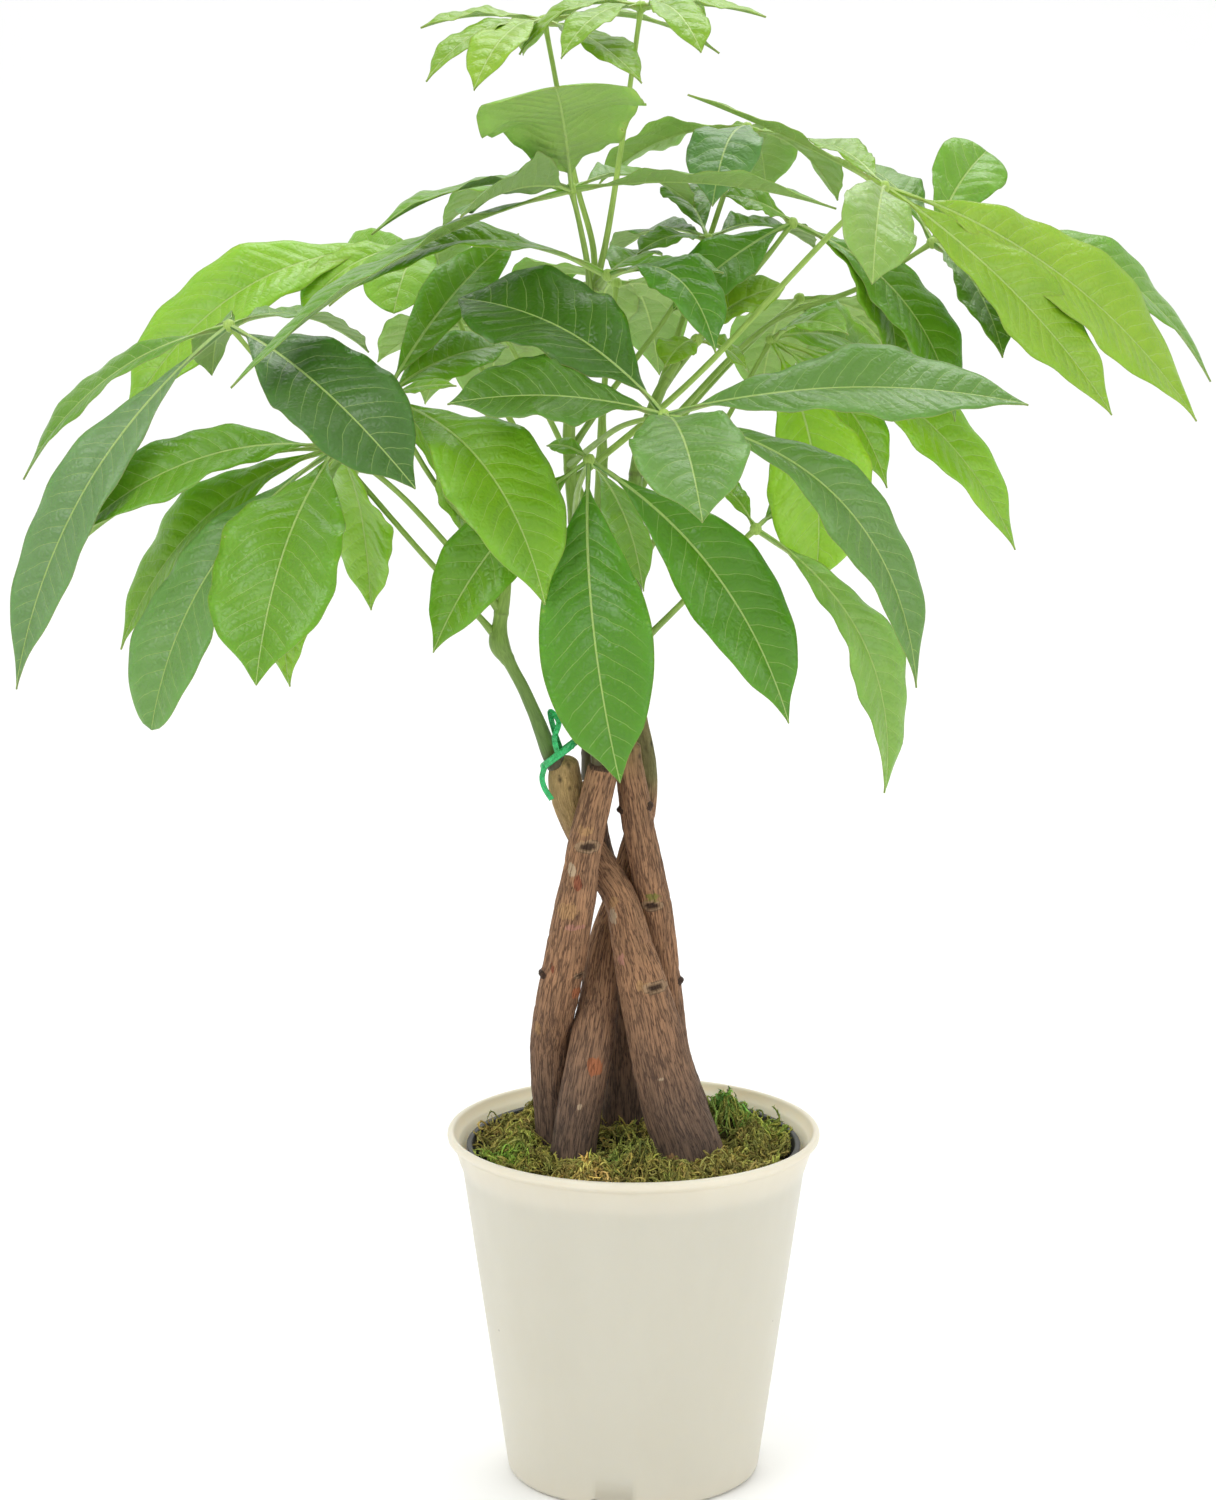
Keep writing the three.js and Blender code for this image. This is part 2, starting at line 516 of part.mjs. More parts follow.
function moss(stems) {
  const floor = SOIL_TOP + GAP;
  const points = [new THREE.Vector3(0, 0, floor + mossHeight(0, 0, 0)), new THREE.Vector3(0, 0, floor)];
  const index = [];
  const at = (ring, sector) => 2 + 2 * ((ring - 1) * MOSS_SECTORS + (sector % MOSS_SECTORS));
  for (let ring = 1; ring <= MOSS_RINGS; ring += 1) {
    const share = ring / MOSS_RINGS;
    for (let sector = 0; sector < MOSS_SECTORS; sector += 1) {
      const angle = (2 * Math.PI * sector) / MOSS_SECTORS;
      const reach = MOSS_REACH + 1.6 * Math.sin(5 * angle) + 1.4 * Math.sin(11 * angle + 1);
      const [x, y] = [share * reach * Math.cos(angle), share * reach * Math.sin(angle)];
      points.push(new THREE.Vector3(x, y, floor + mossHeight(x, y, share)), new THREE.Vector3(x, y, floor));
    }
  }
  for (let sector = 0; sector < MOSS_SECTORS; sector += 1) {
    const [a, b] = [at(1, sector), at(1, sector + 1)];
    index.push(0, a, b, 1, b + 1, a + 1);
    for (let ring = 1; ring < MOSS_RINGS; ring += 1) {
      const [p, q] = [at(ring, sector), at(ring, sector + 1)];
      const [r, s] = [at(ring + 1, sector), at(ring + 1, sector + 1)];
      index.push(p, r, s, p, s, q, p + 1, s + 1, r + 1, p + 1, q + 1, s + 1);
    }
    const [u, v] = [at(MOSS_RINGS, sector), at(MOSS_RINGS, sector + 1)];
    index.push(u, u + 1, v + 1, u, v + 1, v);
  }
  const geometry = new THREE.BufferGeometry().setFromPoints(points);
  geometry.setIndex(index);
  return largestBody(cutBy(solidOf(geometry), stems));
}

// ---- foil tie -----------------------------------------------------------------------------------

/** A flat ribbon through points, turned so that it faces the way that facing gives for a point. */
function ribbon(points, width, facing, steps) {
  const curve = new THREE.CatmullRomCurve3(points.map(vector), false, 'centripetal');
  const rings = [];
  for (let i = 0; i <= steps; i += 1) {
    const centre = curve.getPoint(i / steps);
    const along = curve.getTangent(i / steps);
    const face = facing(centre);
    face.addScaledVector(along, -face.dot(along)).setLength(FOIL_THICKNESS / 2);
    const across = new THREE.Vector3().crossVectors(along, face).setLength(width / 2);
    const corners = [[1, 1], [-1, 1], [-1, -1], [1, -1]];
    const corner = ([out, up]) => centre.clone().addScaledVector(face, out).addScaledVector(across, up);
    rings.push(corners.map(corner));
  }
  return loft(rings);
}

function foilTie() {
  const outward = (point) => point.clone().sub(vector(TIE_MIDDLE)).setZ(0);
  const forward = () => new THREE.Vector3(0, -1, 0);
  const band = [ribbon(TIE_FRONT, BAND_WIDTH, outward, 6), ribbon(TIE_REAR, BAND_WIDTH, outward, 6)];
  const loose = [ribbon(TIE_LOOP, LOOSE_WIDTH, forward, 9), ribbon(TIE_TAIL, LOOSE_WIDTH, forward, 4)];
  return joined([...band, ...loose]);
}

// ---- leaves -------------------------------------------------------------------------------------

/** Half the width of a leaflet at a share of its length from the hub. */
function halfWidth(share, width, bluntness) {
  if (share <= STALK_PART) return STALK_HALF;
  const blade = (share - STALK_PART) / (1 - STALK_PART);
  const base = THREE.MathUtils.lerp(...BASE_POWERS, bluntness);
  const tip = THREE.MathUtils.lerp(...TIP_POWERS, bluntness);
  const widest = base / (base + tip);
  const peak = widest ** base * (1 - widest) ** tip;
  const outline = (blade ** base * (1 - blade) ** tip) / peak;
  return Math.max((width / 2) * outline, THREE.MathUtils.lerp(STALK_HALF, TIP_HALF, blade));
}

/** One leaflet: a thin blade, folded at its midrib, arched, and waved at its edges. */
function leaflet(hub, row, face, order) {
  const [x, y, z, width, arch, twist, bluntness, sway = 0, fold = FOLD] = row;
  const root = vector(hub);
  const tip = new THREE.Vector3(x, y, z);
  const chord = tip.clone().sub(root);
  const length = chord.length();
  chord.normalize();
  const lift = new THREE.Vector3(0, 0, 1).addScaledVector(chord, -chord.z).normalize();
  const across = new THREE.Vector3().crossVectors(chord, vector(face)).normalize();
  const bend = root.clone().lerp(tip, 0.5);
  bend.addScaledVector(lift, 2 * arch * length).addScaledVector(across, 2 * sway);
  const spine = new THREE.QuadraticBezierCurve3(root, bend, tip);
  across.applyAxisAngle(chord, THREE.MathUtils.degToRad(twist));
  const steps = THREE.MathUtils.clamp(Math.round(length / STEP_LENGTH), FEWEST_STEPS, MOST_STEPS);
  const points = [];
  for (let i = 0; i <= steps; i += 1) {
    const share = i / steps;
    const centre = spine.getPoint(share);
    const along = spine.getTangent(share);
    const side = across.clone().addScaledVector(along, -across.dot(along)).normalize();
    const up = new THREE.Vector3().crossVectors(side, along);
    const half = halfWidth(share, width, bluntness);
    for (const level of [0.5, -0.5]) {
      for (const edge of [-1, 0, 1]) {
        const swell = Math.sin(Math.PI * share) * WAVE * width;
        const wave = swell * Math.sin(2 * Math.PI * WAVES * share + 1.7 * order + 0.9 * edge);
        const height = Math.abs(edge) * (fold * half + wave) + level * BLADE;
        points.push(centre.clone().addScaledVector(side, edge * half).addScaledVector(up, height));
      }
    }
  }
  return bladeSolid(points, steps + 1);
}

/** The closed solid of a blade's points: at each station three over and three under, left to right. */
function bladeSolid(points, count) {
  const index = [];
  for (let i = 0; i < count - 1; i += 1) {
    const a = 6 * i;
    for (const left of [a, a + 1]) {
      const [right, farLeft, farRight] = [left + 1, left + 6, left + 7];
      index.push(left, right, farRight, left, farRight, farLeft);
      index.push(left + 3, farRight + 3, right + 3, left + 3, farLeft + 3, farRight + 3);
    }
    index.push(a, a + 6, a + 9, a, a + 9, a + 3);
    index.push(a + 2, a + 11, a + 8, a + 2, a + 5, a + 11);
  }
  const end = 6 * (count - 1);
  for (const left of [0, 1]) {
    index.push(left, left + 4, left + 1, left, left + 3, left + 4);
    index.push(end + left, end + left + 1, end + left + 4, end + left, end + left + 4, end + left + 3);
  }
  const geometry = new THREE.BufferGeometry().setFromPoints(points);
  geometry.setIndex(index);
  return solidOf(geometry);
}

/** A compound leaf: its petiole, the hub and its leaflets, cut clear of the stems that it grows from. */
function compoundLeaf({ hub, face, stem: route, leaflets }, stems) {
  const places = [...route, hub];
  const points = places.map(([x, y, z], i) => {
    return [x, y, z, THREE.MathUtils.lerp(PETIOLE_FOOT, PETIOLE_TOP, i / (places.length - 1))];
  });
  const knob = new THREE.IcosahedronGeometry(HUB_RADIUS, 0).translate(hub[0], hub[1], hub[2]);
  const blades = leaflets.map((row, order) => leaflet(hub, row, face, order));
  const petiole = stem(points, PETIOLE_SIDES, PETIOLE_STEPS);
  return largestBody(cutBy(joined([petiole, solidOf(knob), ...blades]), stems));
}

// ---- the tree in its pot ------------------------------------------------------------------------

const tree = new THREE.Group();

function place(name, solid, color, roughness = 0.6) {
  const material = new THREE.MeshStandardMaterial({ color, roughness, metalness: 0 });
  const mesh = new THREE.Mesh(geometryOf(solid), material);
  mesh.name = name;
  tree.add(mesh);
}

function leafColor(name) {
  if (YOUNG_LEAVES.includes(name)) return LEAF_YOUNG;
  return DARK_LEAVES.includes(name) ? LEAF_DARK : LEAF_MID;
}

const roomForTrunks = Object.values(TRUNKS).map((points) => stem(points, TRUNK_SIDES, TRUNK_STEPS, GAP));
const roomForShoots = Object.values(SHOOTS).map((points) => stem(points, SHOOT_SIDES, SHOOT_STEPS, GAP));

place('outer_pot', outerPot(), CREAM, 0.45);
place('grow_pot', growPot(), DARK_PLASTIC, 0.5);
place('root_ball', rootBall(roomForTrunks), EARTH, 0.95);
place('moss', moss(roomForTrunks), MOSS_GREEN, 0.95);
for (const [name, points] of Object.entries(TRUNKS)) {
  place(name, stem(points, TRUNK_SIDES, TRUNK_STEPS), BARK, 0.9);
}
for (const [name, points] of Object.entries(SHOOTS)) {
  place(name, largestBody(cutBy(stem(points, SHOOT_SIDES, SHOOT_STEPS), roomForTrunks)), SHOOT_GREEN, 0.5);
}
place('foil_tie', foilTie(), FOIL_GREEN, 0.3);
for (const [name, leaf] of Object.entries(LEAVES)) {
  place(name, compoundLeaf(leaf, [...roomForTrunks, ...roomForShoots]), leafColor(name), 0.45);
}

export default tree;
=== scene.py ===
"""A braided money tree in a cream plastic pot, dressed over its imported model."""

import math

import bmesh
import bpy
import numpy as np
from bpy.props import FloatProperty, FloatVectorProperty, IntProperty, PointerProperty
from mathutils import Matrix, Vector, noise


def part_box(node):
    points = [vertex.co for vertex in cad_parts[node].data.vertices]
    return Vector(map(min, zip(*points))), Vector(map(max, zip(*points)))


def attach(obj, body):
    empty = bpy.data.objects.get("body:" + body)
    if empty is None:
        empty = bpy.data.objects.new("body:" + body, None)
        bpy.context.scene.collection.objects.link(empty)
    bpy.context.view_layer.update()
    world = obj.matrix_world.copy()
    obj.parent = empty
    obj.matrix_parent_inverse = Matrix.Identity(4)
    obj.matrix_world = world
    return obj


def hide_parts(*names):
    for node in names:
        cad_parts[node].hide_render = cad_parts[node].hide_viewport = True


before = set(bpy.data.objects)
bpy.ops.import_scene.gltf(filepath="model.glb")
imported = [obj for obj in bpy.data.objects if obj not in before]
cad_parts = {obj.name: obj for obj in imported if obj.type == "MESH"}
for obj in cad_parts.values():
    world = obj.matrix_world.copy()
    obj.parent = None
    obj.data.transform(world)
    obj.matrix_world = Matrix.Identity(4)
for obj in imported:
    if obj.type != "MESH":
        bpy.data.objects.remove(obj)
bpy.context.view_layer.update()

bl_info = {
    "name": "Potted Money Tree",
    "version": (1, 0, 0),
    "blender": (4, 5, 0),
    "location": "3D View > Sidebar > Money Tree",
    "description": "Builds a braided money tree in a cream pot over its packed model",
    "category": "Add Mesh",
}

MM = 0.001
SEED = 11

# ---- the plant's measures, in millimetres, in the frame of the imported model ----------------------

# Trunks and shoots are rows of points [x, y, z, radius] from foot to top.
TRUNKS = {
    "trunk_front_left": [
        [-27, 0, 88, 6.2], [-28, 0, 123, 6.3], [-29, -3, 154, 6.8], [-26.5, -10, 173, 7.2],
        [-23, -14, 192, 7], [-20.5, -17, 206, 6.8], [-16.5, -18, 230, 5.9], [-9.9, -14.6, 257.5, 5.2],
    ],
    "trunk_left": [
        [-23, -14, 88, 8.2], [-21, -14, 120, 7.8], [-15, -12, 155, 7.6], [-12, -4, 172, 6.8],
        [-10, 0.5, 188, 6.1], [-6, 6, 202, 5.4], [-1, 8.5, 218, 4.9], [3.5, 9, 236, 4.4],
        [4, 8.5, 252, 3.7], [1, 8, 272, 3.1],
    ],
    "trunk_front": [
        [23, -18, 88, 12.4], [19, -18, 121, 11.6], [13, -18, 139, 10.7], [4.5, -15.5, 173, 9],
        [-0.5, -11.5, 192, 7.2], [-4.5, -8, 208, 5.9], [-14.5, -5.5, 224, 5.2], [-20.5, -6, 236, 5.3],
        [-23.5, -8, 248, 5.9], [-24, -9, 258.5, 4.6],
    ],
    "trunk_right": [
        [25, 10, 88, 7.2], [21, 9, 122, 6.9], [12.5, 7, 153, 6.3], [11, 4, 169, 6.2], [9, 1.5, 188, 6.2],
        [7, 0, 204, 6.1], [3, -6, 225, 5.7], [0, -7.5, 243, 5.3], [-2, -8, 256, 4.7], [-2, -8, 264, 4.4],
    ],
    "trunk_back": [
        [-4, 15, 88, 8.2], [-3, 15, 130, 7.8], [-4, 16, 166, 7.1], [-4.5, 18, 186, 6.6],
        [-5, 19, 201, 6], [-11, 15.5, 215, 5.3], [-14, 9, 230, 4.9], [-14, 7, 247, 4.5],
    ],
}
SHOOTS = {
    "shoot_left": [
        [-26, -10, 255, 3.6], [-29, -11.2, 261, 3], [-33, -12.6, 272, 2.4], [-38, -15, 284, 2.1],
        [-42, -16.6, 292, 2.2], [-45.5, -18, 299, 3.5], [-45.3, -18, 306, 2.5], [-44, -18, 314, 2.3],
        [-42, -18, 325, 0.9],
    ],
    "shoot_centre": [
        [-11, -17, 252, 3.2], [-13, -13, 275, 2.9], [-17, -9, 310, 2.7], [-20, -6, 340, 2.4],
        [-22, -5, 370, 2.1], [-18, -7, 398, 1.8], [-13.3, -9.7, 421, 1.5],
    ],
    "shoot_right": [
        [1, 8, 271, 2.9], [2, 8, 294, 2.8], [-0.5, 6, 319, 2.8], [-0.5, 3, 340, 2.6],
        [2, 4, 362, 2.2], [9, 6, 382, 1.9], [15, 7, 392, 1.2],
    ],
    "shoot_back": [
        [-15, 6, 246, 3.2], [-15, 10, 270, 2.9], [-14, 17, 300, 2.6], [-12, 25, 330, 2.4],
        [-11, 32, 355, 2], [-11, 36, 370, 1.2],
    ],
}
# How fresh and how brown each shoot is, 0 to 1, and the height from which it has rings.
SHOOT_AGES = {
    "shoot_left": (0.0, 0.1, 292), "shoot_centre": (0.2, 0.45, 0), "shoot_right": (0.0, 0.7, 0),
    "shoot_back": (0.1, 0.6, 0),
}

# Marks on the bark: [trunk, x, z, width, height, kind], on the side that faces the photo.
MARKS = [
    ["trunk_front_left", -15.7, 230, 7.5, 3.4, "scar"], ["trunk_front_left", -16.3, 235.4, 6.5, 5, "tan"],
    ["trunk_front_left", -21.1, 222, 3.4, 6, "pale"], ["trunk_front_left", -19, 217.5, 3.4, 6.4, "red"],
    ["trunk_front_left", -22.4, 207.5, 9, 7, "tan"], ["trunk_front_left", -20.5, 201.8, 9, 2.6, "pink"],
    ["trunk_front_left", -28, 186.4, 1.8, 4.2, "red"], ["trunk_front_left", -18.8, 183.4, 3.2, 1.8, "scar"],
    ["trunk_front_left", -19.8, 176.9, 3.8, 5, "orange"],
    ["trunk_front_left", -31.5, 183.1, 2.4, 2.4, "spur"], ["trunk_front_left", -33, 163, 2.6, 6.5, "tan"],
    # The dark mark over this trunk's cut top is painted shade, for the dark gap under the leaf above it.
    ["trunk_front_left", -10.2, 257.3, 15, 5, "dark"],
    ["trunk_front", -7.2, 208.2, 4, 4.6, "tan"], ["trunk_front", -7.2, 203.2, 2.8, 7, "pale"],
    ["trunk_front", -4.4, 189, 3, 5.5, "pink"], ["trunk_front", 2.2, 181, 4.6, 4.2, "tan"],
    ["trunk_front", 7, 180.4, 7, 3.2, "scar"], ["trunk_front", 13.5, 120, 8, 7, "tan"],
    ["trunk_front", 9, 150, 3, 2, "pale"],
    ["trunk_right", 6.2, 205.2, 7, 3.2, "scar"], ["trunk_right", 6.2, 208.6, 6.5, 3.4, "green"],
    ["trunk_right", 16.4, 176.5, 2.4, 2.4, "spur"], ["trunk_right", 5.4, 241, 2.2, 2.4, "spur"],
    ["trunk_right", -4.8, 239.4, 2.2, 2.2, "spur"], ["trunk_right", 12, 160, 3, 2.4, "pale"],
    ["trunk_left", -13.2, 151.9, 6.5, 8, "orange"], ["trunk_left", -18.5, 138, 2.4, 3.4, "pale"],
]
# The dark kind is painted shade; the other kinds are the bark's own colours.
MARK_COLOURS = {
    "scar": "#1c120c", "tan": "#b98f62", "pale": "#c2aa8c", "red": "#8e4c33", "pink": "#b5806e",
    "orange": "#b16a44", "spur": "#2c1b13", "green": "#7d7c38", "dark": "#33251b",
}
# Where a trunk's bark turns smooth and green or tan: [from, to, colour].
GREEN_TOPS = {
    "trunk_front": (222, 240, "#a38a5c"), "trunk_left": (236, 250, "#747148"),
    "trunk_right": (248, 262, "#8a6f4a"),
}
NO_GREEN_TOP = (300, 301, "#000000")  # over the top of every trunk

# The tie: a ring round the top of the front trunk in two halves, a loop over it and a loose tail.
TIE_MIDDLE = [-25, -9.5, 259]
TIE_FRONT = [
    [-29.8, -5.5, 255.2], [-31.6, -12, 255], [-26.6, -17, 259.8], [-20, -13.8, 264], [-18.6, -8, 264.6],
]
TIE_REAR = [
    [-18.6, -10, 264.6], [-19.6, -4.6, 263], [-24.5, -3.4, 259], [-29.6, -5, 255.4], [-31.3, -9, 254.9],
]
TIE_LOOP = [
    [-25.8, -16.6, 260.5], [-27, -16.4, 266], [-25.6, -15, 271.5], [-28.4, -12, 274.5],
    [-27.5, -8, 268], [-25, -3.6, 259.4],
]
TIE_TAIL = [[-30.2, -14, 256.4], [-31.3, -14.8, 252], [-30.4, -15, 248.5], [-28, -14.6, 244.5]]

# The moss's clumps [x, y, height, spread], and its colours [x, y, reach, colour] from place to place.
CLUMPS = [
    [33, 16, 15, 8], [43, -6, 11, 7], [31, -32, 8, 8], [3, -37, 12, 7], [-16, -40, 8, 8],
    [-42, -6, 12, 8], [-37, -27, 9, 8], [-34, 22, 11, 9], [-10, 40, 10, 9], [18, 37, 11, 8],
    [-44, 10, 8, 6], [16, -42, 7, 6], [45, 12, 8, 6], [0, 0, 6, 12],
]
MOSS_TINTS = [
    [-45, -20, 10, "#7fb63c"], [-44, 6, 12, "#8d8348"], [-36, -32, 12, "#7d7a3a"],
    [-15, -38, 10, "#c9b268"], [-11, -31, 5, "#78b436"], [1, -23, 9, "#66ae44"],
    [3, -38, 9, "#77743a"], [33, 22, 11, "#53a84a"], [40, 0, 11, "#6b6a38"], [30, -30, 10, "#8a8044"],
    [45, 14, 8, "#86983f"], [-20, 40, 14, "#7d7c3e"], [18, 40, 12, "#6c8a3a"],
]
